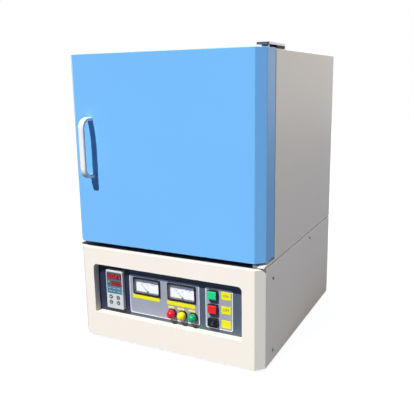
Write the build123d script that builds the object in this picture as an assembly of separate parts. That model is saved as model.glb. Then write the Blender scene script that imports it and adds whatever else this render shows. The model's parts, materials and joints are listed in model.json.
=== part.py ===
from build123d import *
import math
import os

# A high-temperature muffle furnace: a blue door and a heated cabinet on a control base.
# Millimetres. X runs to the right of someone facing the door, Y away from them, Z up.
# The origin is on the floor, under the middle of the furnace.

# Whole furnace
body_width = 480.0
body_depth = 525.0
foot_height = 8.0
base_height = 226.0
gasket_thickness = 3.0
deck_thickness = 5.0
door_lift = 5.5
door_height = 434.0
door_depth = 64.0
door_gap = 3.5
skin = 2.0
edge_chamfer = 19.0
bend_radius = 4.0
rim_radius = 1.2
fine_radius = 0.6
handle_reach = 36.0
gland_reach = 20.0
over = 1.0

# Control base
base_flange = 24.0
pan_height = 34.0
post_width = 25.0
post_setback = 50.0
post_screw_heights = (25.0, 193.0)
rail_screw_setback = 336.0
gasket_inset = 2.0
gasket_setback = 14.0
floor_slot_width = 6.0
floor_slot_length = 70.0
floor_slot_pitch = 16.0
floor_slots = 10
rear_slot_width = 5.0
rear_slot_height = 60.0
rear_slot_pitch = 13.0
rear_slots = 12
slot_flat = 0.1
foot_radius = 15.0
foot_taper = 2.0
foot_inset = 48.0
screw_radius = 2.0
screw_head_radius = 4.2
screw_head_height = 2.2
screw_head_rounding = 1.3
screw_length = 9.0
screw_clearance = 0.2

# Recess of the instrument panel, laid out from its left edge
recess_rise = 62.0
recess_shift = -1.5
recess_side_margin = 46.0
recess_depth = 18.5
recess_corner = 10.0
recess_foot_corner = 2.0
recess_left_part = 29.0
controller_gap_part = 13.2
panel_gap_part = 14.3
recess_right_part = 28.0
recess_bottom_margin = 8.0
recess_top_margin = 19.0
tray_skin = 1.5
tray_flange = 12.0
fascia_thickness = 1.0
fascia_corner = 5.0
fascia_height = 96.0
instrument_width = 188.0
switch_plate_width = 67.5
hole_clearance = 0.3

# Temperature controller
controller_width = 48.0
controller_height = 96.0
controller_rise = 5.3
controller_reach = 10.5
controller_depth = 78.0
controller_lip = 1.75
controller_corner = 3.0
window_side_margin = 2.5
window_top_margin = 4.0
window_height = 54.0
window_thickness = 1.2
window_pocket = 1.6
key_columns = (12.5, 33.5)
key_rows = (29.0, 15.5)
key_radius = 4.0
key_length = 4.0
key_reach = 1.0
key_travel = 0.8
key_play = 0.3

# Panel meters
meter_width = 73.0
meter_height = 40.0
meter_reach = 4.0
meter_pitch = 93.3
meter_shift = 1.8
meter_rise = 23.5
meter_corner = 2.0
meter_frame = 2.9
meter_wall = 1.5
meter_body_length = 34.0
dial_depth = 9.0
dial_thickness = 1.0
dial_play = 0.2
glass_setback = 1.0
glass_thickness = 1.2
needle_length = 25.0
needle_pivot_rise = 2.5
needle_pin_radius = 1.0
needle_pin_length = 4.0
needle_hub_radius = 2.4
needle_hub_height = 1.2
needle_thickness = 0.6
needle_root = 0.5
needle_tip = 0.2
needle_float = 0.4
needle_swing = 90.0
pivot_clearance = 0.08

# Pilot lamps
lamp_pitch = 27.4
lamp_shift = 2.4
lamp_drop = 29.8
lamp_radius = 11.2
lamp_ring_height = 5.0
lamp_pocket = 3.0
lens_radius = 9.9
lens_wall = 9.5
lens_dome = 7.5
barrel_radius = 7.8
barrel_length = 30.0
nut_radius = 10.5
nut_height = 4.0

# Push buttons and key switch
switch_shift = -13.3
switch_rise = 0.5
switch_pitch = 32.7
switch_width = 24.0
switch_height = 20.6
switch_reach = 8.0
switch_corner = 2.0
switch_floor = 1.0
cap_width = 21.0
cap_height = 17.6
cap_reach = 10.5
cap_corner = 1.5
cap_play = 0.3
button_travel = 2.5
stem_radius = 3.0
stem_length = 8.0
key_barrel_radius = 6.5
key_barrel_reach = 9.5
key_barrel_depth = 5.0
keyway_width = 1.8
keyway_length = 8.0
keyway_depth = 3.0

# Chamber and its insulation
chamber_width = 150.0
chamber_height = 150.0
chamber_depth = 200.0
chamber_rise = 12.5
side_jacket = 31.5
roof_space = 91.0
rear_space = 91.0
mouth_width = 200.0
mouth_height = 200.0
mouth_depth = 50.0
frame_thickness = 3.0
inner_skin = 1.5
hearth_thickness = 10.0
hearth_margin = 5.0

# Heating elements, hung in rows from the chamber roof
element_rows = 2
element_wall_gap = 16.0
element_spacing = 50.0
element_floor_gap = 12.0
hot_radius = 3.0
cold_radius = 6.0
cold_reach = 12.0
taper_length = 12.0
cold_stub = 24.0
plug_slot_width = 26.0
plug_slot_length = 78.0
plug_play = 0.25
plug_flange = 6.0
plug_flange_height = 10.0
plug_hole_clearance = 0.4
strap_width = 22.0
strap_thickness = 5.0
strap_clearance = 0.05
strap_corner = 6.5
bar_x = 120.0
bar_width = 20.0
bar_thickness = 4.0

# Thermocouple through the rear wall
sheath_radius = 4.0
sheath_tip = 30.0
sheath_rise = 40.0
sheath_clearance = 0.3
thermo_flange_radius = 22.0
thermo_flange_height = 3.0
thermo_head_radius = 17.0
thermo_head_length = 34.0

# Cooling fan of the air jacket
fan_size = 120.0
fan_depth = 25.0
fan_top_gap = 30.0
fan_bore = 57.0
fan_corner = 6.0
fan_hub_radius = 20.0
fan_hub_length = 16.0
fan_base_height = 4.0
fan_arm_width = 6.0
fan_blades = 7
blade_radius = 54.5
blade_chord = 17.0
blade_thickness = 1.6
blade_root_angle = 48.0
blade_tip_angle = 27.0
blade_root_depth = 2.0
shaft_radius = 2.5
shaft_length = 3.6
shaft_clearance = 0.08
rotor_float = 0.4
guard_rings = 4
guard_ring_width = 3.0
guard_thickness = 2.0
guard_rim_width = 5.0
guard_hub_radius = 10.0

# Door, its pivots and its handle
hinge_inset_x = 12.0
hinge_inset_y = 38.0
hinge_rise = 5.0
hinge_plate_thickness = 4.5
hinge_plate_width = 27.0
hinge_plate_near = 26.0
hinge_plate_far = 120.0
hinge_plate_corner = 2.0
tongue_near = 9.0
spacer_setback = 2.0
hinge_screw_setbacks = (84.0, 106.0)
hinge_screw_radius = 3.0
hinge_head_radius = 5.5
hinge_head_height = 2.6
hinge_screw_length = 16.0
pin_radius = 5.0
pin_clearance = 0.08
pin_collar_radius = 8.0
pin_collar_gap = 0.4
pin_engagement = 18.0
pin_stub_clearance = 0.05
block_reach = 12.0
block_height = 22.0
plug_side_clearance = 7.0
plug_taper = 8.0
plug_end_gap = 10.0
door_board_margin = 60.0
seal_inset = 6.0
seal_width = 12.0
seal_gap = 0.4
seal_corner = 8.0
magnet_width = 14.0
magnet_height = 44.0
magnet_inset = 10.0
handle_inset = 59.5
handle_rise = 226.0
handle_spacing = 130.5
handle_width = 14.5
handle_thickness = 8.0
handle_bend = 20.0
handle_corner = 3.0

# Electrical gear on the floor of the base
core_width = 180.0
core_depth = 90.0
core_height = 150.0
core_limb = 30.0
coil_build = 27.0
coil_play = 0.4
coil_corner = 12.0
transformer_rear_gap = 140.0
post_terminal_radius = 6.0
post_terminal_height = 30.0
post_terminal_x = 40.0
sink_side_gap = 82.0
sink_width = 100.0
sink_depth = 60.0
sink_height = 110.0
sink_plate = 9.0
fin_count = 11
fin_thickness = 2.2
sink_setback = 200.0
module_width = 62.0
module_depth = 34.0
module_height = 94.0
module_lid_width = 37.0
module_lid_height = 10.0
contactor_side_gap = 75.0
contactor_width = 75.0
contactor_depth = 85.0
contactor_height = 86.0
contactor_step = 18.0
contactor_step_height = 26.0
contactor_setback = 200.0
terminal_side_gap = 72.0
terminal_rear_gap = 65.0
terminal_poles = 6
terminal_pitch = 14.0
terminal_depth = 34.0
terminal_height = 30.0
terminal_wall = 2.0
terminal_well = 14.0
gland_rise = 75.0
gland_radius = 12.5
gland_rounding = 3.0
gland_nut_radius = 15.5
gland_nut_height = 7.0
gland_thread_radius = 9.9
gland_bore_radius = 7.0
gland_bore_clearance = 0.1

# Places that follow from the sizes
front = handle_reach - (handle_reach + body_depth + gland_reach) / 2
back = front + body_depth
door_back = front + door_depth
cabinet_front = door_back + door_gap
half_width = body_width / 2
base_bottom = foot_height
base_top = base_bottom + base_height
deck_bottom = base_top + gasket_thickness
deck_top = deck_bottom + deck_thickness
door_bottom = deck_top + door_lift
cabinet_top = door_bottom + door_height
pan_top = base_bottom + skin

recess_width = body_width - 2 * recess_side_margin
recess_height = recess_bottom_margin + fascia_height + recess_top_margin
recess_z = base_bottom + recess_rise + recess_height / 2
recess_left = recess_shift - recess_width / 2
free_width = recess_width - controller_width - instrument_width - switch_plate_width
gap_parts = recess_left_part + controller_gap_part + panel_gap_part + recess_right_part
recess_left_margin = free_width * recess_left_part / gap_parts
controller_gap = free_width * controller_gap_part / gap_parts
panel_gap = free_width * panel_gap_part / gap_parts
panel_y = front + recess_depth
tray_back = panel_y + tray_skin
fascia_y = panel_y - fascia_thickness
panel_z = base_bottom + recess_rise + recess_bottom_margin + fascia_height / 2
controller_x = recess_left + recess_left_margin + controller_width / 2
instrument_x = controller_x + controller_width / 2 + controller_gap + instrument_width / 2
switch_plate_x = instrument_x + instrument_width / 2 + panel_gap + switch_plate_width / 2
controller_y = panel_y - controller_reach
controller_z = panel_z + controller_rise
meter_xs = [instrument_x + meter_shift - meter_pitch / 2, instrument_x + meter_shift + meter_pitch / 2]
meter_z = panel_z + meter_rise
meter_y = fascia_y - meter_reach
dial_width = meter_width - 2 * meter_frame
dial_height = meter_height - 2 * meter_frame
meter_body_width = dial_width + 2 * meter_wall
meter_body_height = dial_height + 2 * meter_wall
dial_floor = meter_y + dial_depth
dial_face = dial_floor - dial_thickness
needle_z = meter_z - dial_height / 2 + needle_pivot_rise
needle_back = dial_face - needle_float
lamp_z = panel_z - lamp_drop
lamp_xs = [meter_xs[1] + lamp_shift + lamp_pitch * i for i in (-1, 0, 1)]
switch_x = switch_plate_x + switch_shift
switch_zs = [panel_z + switch_rise + switch_pitch * i for i in (1, 0, -1)]
switch_well = fascia_y - switch_floor

post_y = front + post_setback + post_width / 2
side_screws_at = [(post_y, base_bottom + height) for height in post_screw_heights]
side_screws_at.append((front + rail_screw_setback, base_top - skin - post_width / 2))

insulation_front = cabinet_front + frame_thickness
chamber_front = insulation_front + mouth_depth
chamber_rear = chamber_front + chamber_depth
insulation_rear = back - skin - rear_space - inner_skin
insulation_half = half_width - skin - side_jacket - inner_skin
insulation_floor = deck_top + inner_skin
insulation_top = cabinet_top - skin - roof_space
chamber_z = (insulation_floor + insulation_top) / 2 + chamber_rise
chamber_floor = chamber_z - chamber_height / 2
chamber_roof_z = chamber_z + chamber_height / 2
hearth_top = chamber_floor + hearth_thickness
element_x = chamber_width / 2 - element_wall_gap
element_ys = [chamber_front + chamber_depth * (i + 0.5) / element_rows for i in range(element_rows)]
strap_bottom = insulation_top + plug_flange_height
strap_top = strap_bottom + strap_thickness
first_leg_y = element_ys[0] - element_spacing / 2
last_leg_y = element_ys[-1] + element_spacing / 2
bar_y = (insulation_rear + inner_skin + back - skin) / 2
riser_window_x = bar_x + bar_width
riser_window_near = insulation_rear + inner_skin + over
riser_window_far = back - base_flange
sheath_z = chamber_z + sheath_rise
fan_z = cabinet_top - skin - fan_top_gap - fan_size / 2
fan_front = back - skin - fan_depth

hinge_x = half_width - hinge_inset_x
hinge_y = front + hinge_inset_y
hinge_plate_left = half_width - hinge_plate_width
hinge_plate_bottom = cabinet_top + hinge_rise
hinge_plate_top = hinge_plate_bottom + hinge_plate_thickness
hinge_screw_x = half_width - hinge_plate_width / 2
plug_root = mouth_width - 2 * plug_side_clearance
plug_root_height = mouth_height - 2 * plug_side_clearance
handle_x = -half_width + handle_inset
handle_z = door_bottom + handle_rise

transformer_y = back - transformer_rear_gap
sink_x = half_width - sink_side_gap
contactor_x = -half_width + contactor_side_gap
terminal_x = half_width - terminal_side_gap
gland_x = terminal_x
core_top = pan_top + core_height
coil_top = core_top - core_limb - coil_play
coil_half_width = core_limb + coil_play + coil_build
coil_half_depth = core_depth / 2 + coil_play + coil_build
post_terminal_y = transformer_y + core_depth / 2 + coil_build / 2
lower_bar_z = coil_top + post_terminal_height
gland_z = base_bottom + gland_rise

RIGHT = (1, 0, 0)
FORWARD, BACKWARD = (0, -1, 0), (0, 1, 0)
DOWN, UP = (0, 0, -1), (0, 0, 1)


def save(name, shapes):
    """Write one sub-part, made of one solid or of several separate ones."""
    solids = [solid for shape in shapes for solid in shape.solids()]
    shape = solids[0] if len(solids) == 1 else Compound(solids)
    export_step(shape, f"parts/{name}.step")


def span(x0, x1, y0, y1, z0, z1):
    """A block between two opposite corners."""
    return Pos((x0 + x1) / 2, (y0 + y1) / 2, (z0 + z1) / 2) * Box(abs(x1 - x0), abs(y1 - y0), abs(z1 - z0))


def rod(x, y, z, direction, radius, length):
    """A cylinder that starts at a point and runs along a direction."""
    base = (Align.CENTER, Align.CENTER, Align.MIN)
    return Plane(origin=(x, y, z), z_dir=direction) * Cylinder(radius, length, align=base)


def cone(x, y, z, direction, radius, end_radius, length):
    """A tapered rod that starts at a point and runs along a direction."""
    base = (Align.CENTER, Align.CENTER, Align.MIN)
    return Plane(origin=(x, y, z), z_dir=direction) * Cone(radius, end_radius, length, align=base)


def facing(x, y, z):
    """The plane of a panel seen from the front: its x runs right and its y runs up."""
    return Plane(origin=(x, y, z), x_dir=RIGHT, z_dir=FORWARD)


def pad(x, z, width, height, corner, near, far):
    """A block with rounded corners as seen from the front, from one depth to another."""
    return extrude(facing(x, far, z) * RectangleRounded(width, height, corner), amount=far - near)


def casing_block(inset, rear, low, high):
    """A block with the casing's chamfered front corners and its bends, pulled in by an inset."""
    half = half_width - inset
    near = front + inset
    leg = edge_chamfer - inset * (2 - math.sqrt(2))
    corners = [(-half, rear), (-half, near + leg), (-half + leg, near)]
    corners += [(half - leg, near), (half, near + leg), (half, rear)]
    outline = Polyline(*[(x, y, low) for x, y in corners], close=True)
    block = extrude(make_face(outline), amount=high - low, dir=UP)
    bends = [e for e in block.edges().filter_by(Axis.Z) if e.center().Y < near + leg + over]
    return fillet(bends, max(bend_radius - inset, fine_radius))


def soften_rims(block, rims, rear):
    """Round the outer rims of a folded casing, all but the edge at its open back."""
    edges = [edge for rim in rims for edge in rim.edges() if edge.center().Y < rear - over]
    return fillet(edges, rim_radius)


def recess_block(margin, near, far):
    """A block on the recess, larger than its opening by a margin, with rounder corners at its top."""
    half_x, half_z = recess_width / 2 + margin, recess_height / 2 + margin
    low, high = recess_z - half_z, recess_z + half_z
    block = span(recess_shift - half_x, recess_shift + half_x, near, far, low, high)
    corners = block.edges().filter_by(Axis.Y).sort_by(Axis.Z)
    block = fillet(corners[:2], recess_foot_corner + margin)
    corners = block.edges().filter_by(Axis.Y).sort_by(Axis.Z)
    return fillet(corners[-2:], recess_corner + margin)


def hex_nut(x, y, z, direction, radius, length):
    """A hexagonal nut that starts at a point and runs along a direction."""
    return extrude(Plane(origin=(x, y, z), z_dir=direction) * RegularPolygon(radius, 6), amount=length)


def slot_row(count, pitch, width, height, x, z, near, far):
    """A row of upright slots with round ends, centred on a place of a rear panel."""
    first = x - pitch * (count - 1) / 2
    end = width / 2 - slot_flat
    return [pad(first + pitch * i, z, width, height, end, near, far) for i in range(count)]


def base_shell():
    """Front, sides and top rim of the control base, folded from one sheet."""
    body = casing_block(0, back, base_bottom, base_top)
    body = soften_rims(body, [body.faces().sort_by(Axis.Z)[-1]], back)
    body -= casing_block(skin, back + over, base_bottom - over, base_top - skin)
    body -= casing_block(base_flange, back - base_flange, base_top - skin - over, base_top + over)
    body += recess_block(skin, front + skin, panel_y)
    body -= recess_block(0, front - over, panel_y + over)
    for y, z in side_screws_at:
        body -= rod(-half_width - over, y, z, RIGHT, screw_radius + screw_clearance, body_width + 2 * over)
    return [body]


def base_chassis():
    """Floor pan of the base, with welded corner posts and side rails."""
    inner = half_width - skin
    rail_bottom = base_top - skin - post_width
    body = casing_block(skin, back - skin, base_bottom, base_bottom + pan_height)
    body -= casing_block(2 * skin, back - 2 * skin, pan_top, base_top)
    front_post = front + post_setback
    rear_post = back - skin - post_width
    for side in (-1, 1):
        outer_x, face_x, leg_x = side * inner, side * (inner - skin), side * (inner - post_width)
        for near in (front_post, rear_post):
            body += span(face_x, outer_x, near, near + post_width, base_bottom, base_top - skin)
        body += span(leg_x, outer_x, front_post, front_post + skin, base_bottom, base_top - skin)
        body += span(leg_x, outer_x, back - 2 * skin, back - skin, base_bottom, base_top - skin)
        body += span(face_x, outer_x, front_post, back - skin, rail_bottom, base_top - skin)
        for y, z in side_screws_at:
            body -= rod(leg_x, y, z, (side, 0, 0), screw_radius + screw_clearance, post_width + over)
    middle = (front + back) / 2
    first = -floor_slot_pitch * (floor_slots - 1) / 2
    for i in range(floor_slots):
        x = first + floor_slot_pitch * i
        body -= span(x - floor_slot_width / 2, x + floor_slot_width / 2, middle - floor_slot_length,
                     middle, base_bottom - over, pan_top + over)
    return [body]


def base_rear_panel():
    """Rear panel of the base, with air slots and the hole of the mains gland."""
    inner = half_width - skin
    body = span(-inner, inner, back - skin, back, base_bottom, base_top - skin)
    z = (base_bottom + base_top) / 2
    for slot in slot_row(rear_slots, rear_slot_pitch, rear_slot_width, rear_slot_height, 0, z,
                         back - skin - over, back + over):
        body -= slot
    body -= rod(gland_x, back - skin - over, gland_z, BACKWARD,
                gland_thread_radius + gland_bore_clearance, skin + 2 * over)
    return [body]


def rubber_feet():
    """Four rubber feet, wider at the top."""
    xs = (-half_width + foot_inset, half_width - foot_inset)
    ys = (front + foot_inset, back - foot_inset)
    return [cone(x, y, 0, UP, foot_radius - foot_taper, foot_radius, foot_height) for x in xs for y in ys]


def pan_head_screw(x, y, z, direction, radius, head_radius, head_height, length):
    """A domed screw whose head sits on a face and whose shank runs along a direction."""
    outward = tuple(-d for d in direction)
    head = rod(x, y, z, outward, head_radius, head_height)
    rim = head.edges().sort_by(Axis(origin=(x, y, z), direction=outward))[-1]
    head = fillet(rim, screw_head_rounding)
    return head + rod(x, y, z, direction, radius, length)


def side_screws():
    """Screws through the base sides into the posts and rails."""
    return [pan_head_screw(side * half_width, y, z, (-side, 0, 0), screw_radius, screw_head_radius,
                           screw_head_height, screw_length) for side in (-1, 1) for y, z in side_screws_at]


def recess_tray():
    """Dark plate behind the rim of the opening in the base front, with the panel cut-outs."""
    body = recess_block(tray_flange, panel_y, tray_back)
    near, far = panel_y - over, tray_back + over
    cutout_width = controller_width - 2 * controller_lip + 2 * hole_clearance
    cutout_height = controller_height - 2 * controller_lip + 2 * hole_clearance
    body -= pad(controller_x, controller_z, cutout_width, cutout_height, hole_clearance, near, far)
    for hole in panel_holes(near, far):
        body -= hole
    return [body]


def panel_holes(near, far):
    """The holes for meters, lamps and switches, through the tray and its plates."""
    length = far - near
    barrel_hole = barrel_radius + hole_clearance
    width, height = meter_body_width + 2 * hole_clearance, meter_body_height + 2 * hole_clearance
    holes = [pad(x, meter_z, width, height, rim_radius, near, far) for x in meter_xs]
    holes += [rod(x, near, lamp_z, BACKWARD, barrel_hole, length) for x in lamp_xs]
    holes += [rod(switch_x, near, z, BACKWARD, barrel_hole, length) for z in switch_zs]
    return holes


def fascia_panels():
    """Two light grey plates on the tray: one for meters and lamps, one for the switches."""
    plates = []
    for x, width in ((instrument_x, instrument_width), (switch_plate_x, switch_plate_width)):
        plate = pad(x, panel_z, width, fascia_height, fascia_corner, fascia_y, panel_y)
        for hole in panel_holes(fascia_y - over, panel_y + over):
            plate -= hole
        plates.append(plate)
    return plates


def controller_parts():
    """Housing, window and keys of the temperature controller."""
    left = controller_x - controller_width / 2
    bottom = controller_z - controller_height / 2
    case = pad(controller_x, controller_z, controller_width, controller_height, controller_corner,
               controller_y, panel_y)
    case = fillet(case.faces().sort_by(Axis.Y)[0].edges(), rim_radius)
    body_half_x = controller_width / 2 - controller_lip
    body_half_z = controller_height / 2 - controller_lip
    case += span(controller_x - body_half_x, controller_x + body_half_x, panel_y, panel_y + controller_depth,
                 controller_z - body_half_z, controller_z + body_half_z)
    window_z = controller_z + controller_height / 2 - window_top_margin - window_height / 2
    window_width = controller_width - 2 * window_side_margin
    window_floor = controller_y + window_pocket
    case -= pad(controller_x, window_z, window_width, window_height, rim_radius,
                controller_y - over, window_floor)
    window = pad(controller_x, window_z, window_width - 2 * dial_play, window_height - 2 * dial_play,
                 rim_radius, window_floor - window_thickness, window_floor)
    keys = []
    for row in key_rows:
        for column in key_columns:
            x, z = left + column, bottom + row
            key_back = controller_y - key_reach + key_length
            case -= rod(x, controller_y - over, z, BACKWARD, key_radius + key_play,
                        key_back + key_travel + key_play - controller_y + over)
            key = rod(x, key_back, z, FORWARD, key_radius, key_length)
            keys.append(fillet(key.faces().sort_by(Axis.Y)[0].edges(), fine_radius))
    return case, window, keys


def meter_parts():
    """Cases, dials, glasses and needles of the two panel meters."""
    cases, dials, glasses, needles = [], [], [], []
    half_swing = math.radians(needle_swing / 2)
    for x in meter_xs:
        case = pad(x, meter_z, meter_width, meter_height, meter_corner, meter_y, fascia_y)
        case = fillet(case.faces().sort_by(Axis.Y)[0].edges(), rim_radius)
        case += pad(x, meter_z, meter_body_width, meter_body_height, rim_radius, fascia_y,
                    fascia_y + meter_body_length)
        case -= pad(x, meter_z, dial_width, dial_height, rim_radius, meter_y - over, dial_floor)
        case -= rod(x, dial_floor - over, needle_z, BACKWARD, needle_pin_radius + pivot_clearance,
                    needle_pin_length + over)
        width, height = dial_width - 2 * dial_play, dial_height - 2 * dial_play
        dial = pad(x, meter_z, width, height, rim_radius, dial_face, dial_floor)
        dial -= rod(x, dial_face - over, needle_z, BACKWARD, needle_pin_radius + needle_float,
                    dial_thickness + 2 * over)
        glass_y = meter_y + glass_setback
        glass = pad(x, meter_z, width, height, rim_radius, glass_y, glass_y + glass_thickness)
        pin_length = dial_thickness + needle_pin_length
        needle = rod(x, needle_back, needle_z, FORWARD, needle_hub_radius, needle_hub_height)
        needle += rod(x, needle_back, needle_z, BACKWARD, needle_pin_radius, pin_length)
        aim = Plane(origin=(x, needle_back, needle_z), z_dir=FORWARD,
                    x_dir=(-math.sin(half_swing), 0, math.cos(half_swing)))
        outline = Polyline((0, -needle_root), (needle_length, -needle_tip), (needle_length, needle_tip),
                           (0, needle_root), close=True)
        needle += extrude(aim * make_face(outline), amount=needle_thickness)
        cases.append(case)
        dials.append(dial)
        glasses.append(glass)
        needles.append(needle)
    return cases, dials, glasses, needles


def barrel_with_nut(x, z, length):
    """The threaded barrel of a panel device, with its nut behind the tray."""
    barrel = rod(x, fascia_y, z, BACKWARD, barrel_radius, length)
    return barrel + hex_nut(x, tray_back, z, BACKWARD, nut_radius, nut_height)


def lamp_bodies():
    """Rings, barrels and nuts of the three pilot lamps."""
    bodies = []
    for x in lamp_xs:
        ring = rod(x, fascia_y, lamp_z, FORWARD, lamp_radius, lamp_ring_height)
        ring = fillet(ring.faces().sort_by(Axis.Y)[0].edges(), rim_radius)
        ring -= rod(x, fascia_y - lamp_ring_height + lamp_pocket, lamp_z, FORWARD, lens_radius,
                    lamp_ring_height)
        bodies.append(ring + barrel_with_nut(x, lamp_z, barrel_length))
    return bodies


def lamp_lens(x):
    """A domed lamp lens, seated in its ring."""
    height = lens_wall + lens_dome
    ball_radius = (lens_radius ** 2 + lens_dome ** 2) / (2 * lens_dome)
    seat = Plane(origin=(x, fascia_y - lamp_ring_height + lamp_pocket, lamp_z), z_dir=FORWARD)
    wall = rod(x, seat.origin.Y, lamp_z, FORWARD, lens_radius, height)
    return [wall & (seat * Pos(0, 0, height - ball_radius) * Sphere(ball_radius))]


def switch_housings():
    """Black housings of the two push buttons and the key switch."""
    housings = []
    for index, z in enumerate(switch_zs):
        body = pad(switch_x, z, switch_width, switch_height, switch_corner, fascia_y - switch_reach, fascia_y)
        body = fillet(body.faces().sort_by(Axis.Y)[0].edges(), rim_radius)
        body += barrel_with_nut(switch_x, z, barrel_length)
        if index < 2:
            body -= pad(switch_x, z, cap_width + 2 * cap_play, cap_height + 2 * cap_play, cap_corner,
                        fascia_y - switch_reach - over, switch_well)
            body -= rod(switch_x, switch_well - over, z, BACKWARD, stem_radius + cap_play,
                        stem_length + over)
        else:
            body -= rod(switch_x, fascia_y + key_barrel_depth, z, FORWARD,
                        key_barrel_radius + shaft_clearance, switch_reach + key_barrel_depth + over)
        housings.append(body)
    return housings


def push_button(z):
    """A rectangular push button with its stem."""
    face = fascia_y - cap_reach
    rear = switch_well - button_travel - cap_play
    cap = pad(switch_x, z, cap_width, cap_height, cap_corner, face, rear)
    cap = fillet(cap.faces().sort_by(Axis.Y)[0].edges(), rim_radius)
    return [cap + rod(switch_x, rear, z, BACKWARD, stem_radius, stem_length)]


def key_barrel():
    """Turning barrel of the key switch, with its upright keyway."""
    z = switch_zs[2]
    face = fascia_y - key_barrel_reach
    length = key_barrel_reach + key_barrel_depth - cap_play
    body = rod(switch_x, face, z, BACKWARD, key_barrel_radius, length)
    body = fillet(body.faces().sort_by(Axis.Y)[0].edges(), rim_radius)
    body -= span(switch_x - keyway_width / 2, switch_x + keyway_width / 2, face - over,
                 face + keyway_depth, z - keyway_length / 2, z + keyway_length / 2)
    return [body]


def riser_window(low, high):
    """The opening that the supply bars pass through at the back."""
    return span(-riser_window_x, riser_window_x, riser_window_near, riser_window_far, low - over, high + over)


def seam_gasket():
    """Dark sheet between the base and the cabinet."""
    side = half_width - gasket_inset
    body = span(-side, side, front + gasket_setback, back - gasket_inset, base_top, deck_bottom)
    return [body - riser_window(base_top, deck_bottom)]


def deck_plate():
    """Bottom plate of the cabinet, whose tongue carries the lower door pivot."""
    body = span(-half_width, half_width, cabinet_front, back, deck_bottom, deck_top)
    near = front + tongue_near
    tongue = span(hinge_plate_left, half_width, near, cabinet_front + over, deck_bottom, deck_top)
    near_edges = [e for e in tongue.edges().filter_by(Axis.Z) if e.center().Y < near + over]
    body += fillet(near_edges, hinge_plate_corner)
    body -= riser_window(deck_bottom, deck_top)
    body -= rod(hinge_x, hinge_y, deck_bottom - over, UP, pin_radius, deck_thickness + 2 * over)
    return [body]


def outer_shell():
    """Sides and top of the cabinet, folded from one sheet."""
    body = span(-half_width, half_width, cabinet_front, back, deck_top, cabinet_top)
    long_edges = [e for e in body.edges().filter_by(Axis.Y) if e.center().Z > cabinet_top - over]
    body = fillet(long_edges, bend_radius)
    inner, ceiling = half_width - skin, cabinet_top - skin
    hollow = span(-inner, inner, cabinet_front - over, back + over, deck_top - over, ceiling)
    long_edges = [e for e in hollow.edges().filter_by(Axis.Y) if e.center().Z > ceiling - over]
    body -= fillet(long_edges, bend_radius - skin)
    for setback in hinge_screw_setbacks:
        body -= rod(hinge_screw_x, front + setback, ceiling - over, UP,
                    hinge_screw_radius + screw_clearance, skin + 2 * over)
    return [body]


def cabinet_plate(near, far):
    """An upright plate that closes the cabinet between its sides, deck and top."""
    inner, ceiling = half_width - skin, cabinet_top - skin
    plate = span(-inner, inner, near, far, deck_top, ceiling)
    top_edges = [e for e in plate.edges().filter_by(Axis.Y) if e.center().Z > ceiling - over]
    return fillet(top_edges, bend_radius - skin)


def front_frame():
    """Steel front plate round the chamber mouth."""
    plate = cabinet_plate(cabinet_front, insulation_front)
    return [plate - span(-mouth_width / 2, mouth_width / 2, cabinet_front - over, insulation_front + over,
                         chamber_z - mouth_height / 2, chamber_z + mouth_height / 2)]


def rear_cover():
    """Rear plate of the cabinet, with the fan opening and air slots."""
    plate = cabinet_plate(back - skin, back)
    plate -= rod(0, back - skin - over, fan_z, BACKWARD, fan_bore, skin + 2 * over)
    z = deck_top + rear_slot_height
    for slot in slot_row(rear_slots, rear_slot_pitch, rear_slot_width, rear_slot_height, 0, z,
                         back - skin - over, back + over):
        plate -= slot
    return [plate]


def inner_shell():
    """Stainless tub that holds the insulation, open at the front and the top."""
    outer = insulation_half + inner_skin
    tub = span(-outer, outer, insulation_front, insulation_rear + inner_skin, deck_top, insulation_top)
    tub -= span(-insulation_half, insulation_half, insulation_front - over, insulation_rear,
                insulation_floor, insulation_top + over)
    return [tub - rod(0, insulation_rear - over, sheath_z, BACKWARD, sheath_radius + sheath_clearance,
                      inner_skin + 2 * over)]


def element_places():
    """The centre of each heating element, left and right of each row."""
    return [(side * element_x, y) for side in (-1, 1) for y in element_ys]


def roof_board():
    """Roof board with a slot for each element plug."""
    outer = insulation_half
    roof = span(-outer, outer, chamber_front, insulation_rear, chamber_roof_z, insulation_top)
    for x, y in element_places():
        roof -= span(x - plug_slot_width / 2, x + plug_slot_width / 2, y - plug_slot_length / 2,
                     y + plug_slot_length / 2, chamber_roof_z - over, insulation_top + over)
    return roof


def chamber_boards():
    """Fibre boards round the chamber: floor, rear, sides, the four of the mouth, and the roof."""
    wall_x, mouth_x, outer = chamber_width / 2, mouth_width / 2, insulation_half
    sill_top, lintel_bottom = chamber_z - mouth_height / 2, chamber_z + mouth_height / 2
    rear = span(-outer, outer, chamber_rear, insulation_rear, chamber_floor, chamber_roof_z)
    rear -= rod(0, chamber_rear - over, sheath_z, BACKWARD, sheath_radius + sheath_clearance,
                insulation_rear - chamber_rear + 2 * over)
    return [
        span(-outer, outer, chamber_front, insulation_rear, insulation_floor, chamber_floor),
        rear,
        span(-outer, -wall_x, chamber_front, chamber_rear, chamber_floor, chamber_roof_z),
        span(wall_x, outer, chamber_front, chamber_rear, chamber_floor, chamber_roof_z),
        span(-outer, -mouth_x, insulation_front, chamber_front, insulation_floor, insulation_top),
        span(mouth_x, outer, insulation_front, chamber_front, insulation_floor, insulation_top),
        span(-mouth_x, mouth_x, insulation_front, chamber_front, insulation_floor, sill_top),
        span(-mouth_x, mouth_x, insulation_front, chamber_front, lintel_bottom, insulation_top),
        roof_board(),
    ]


def hearth_plate():
    """Ceramic plate on the chamber floor."""
    half = chamber_width / 2 - hearth_margin
    near, far = chamber_front + hearth_margin, chamber_rear - hearth_margin
    plate = span(-half, half, near, far, chamber_floor, hearth_top)
    return [fillet(plate.edges().filter_by(Axis.Z), hearth_margin)]


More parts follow.
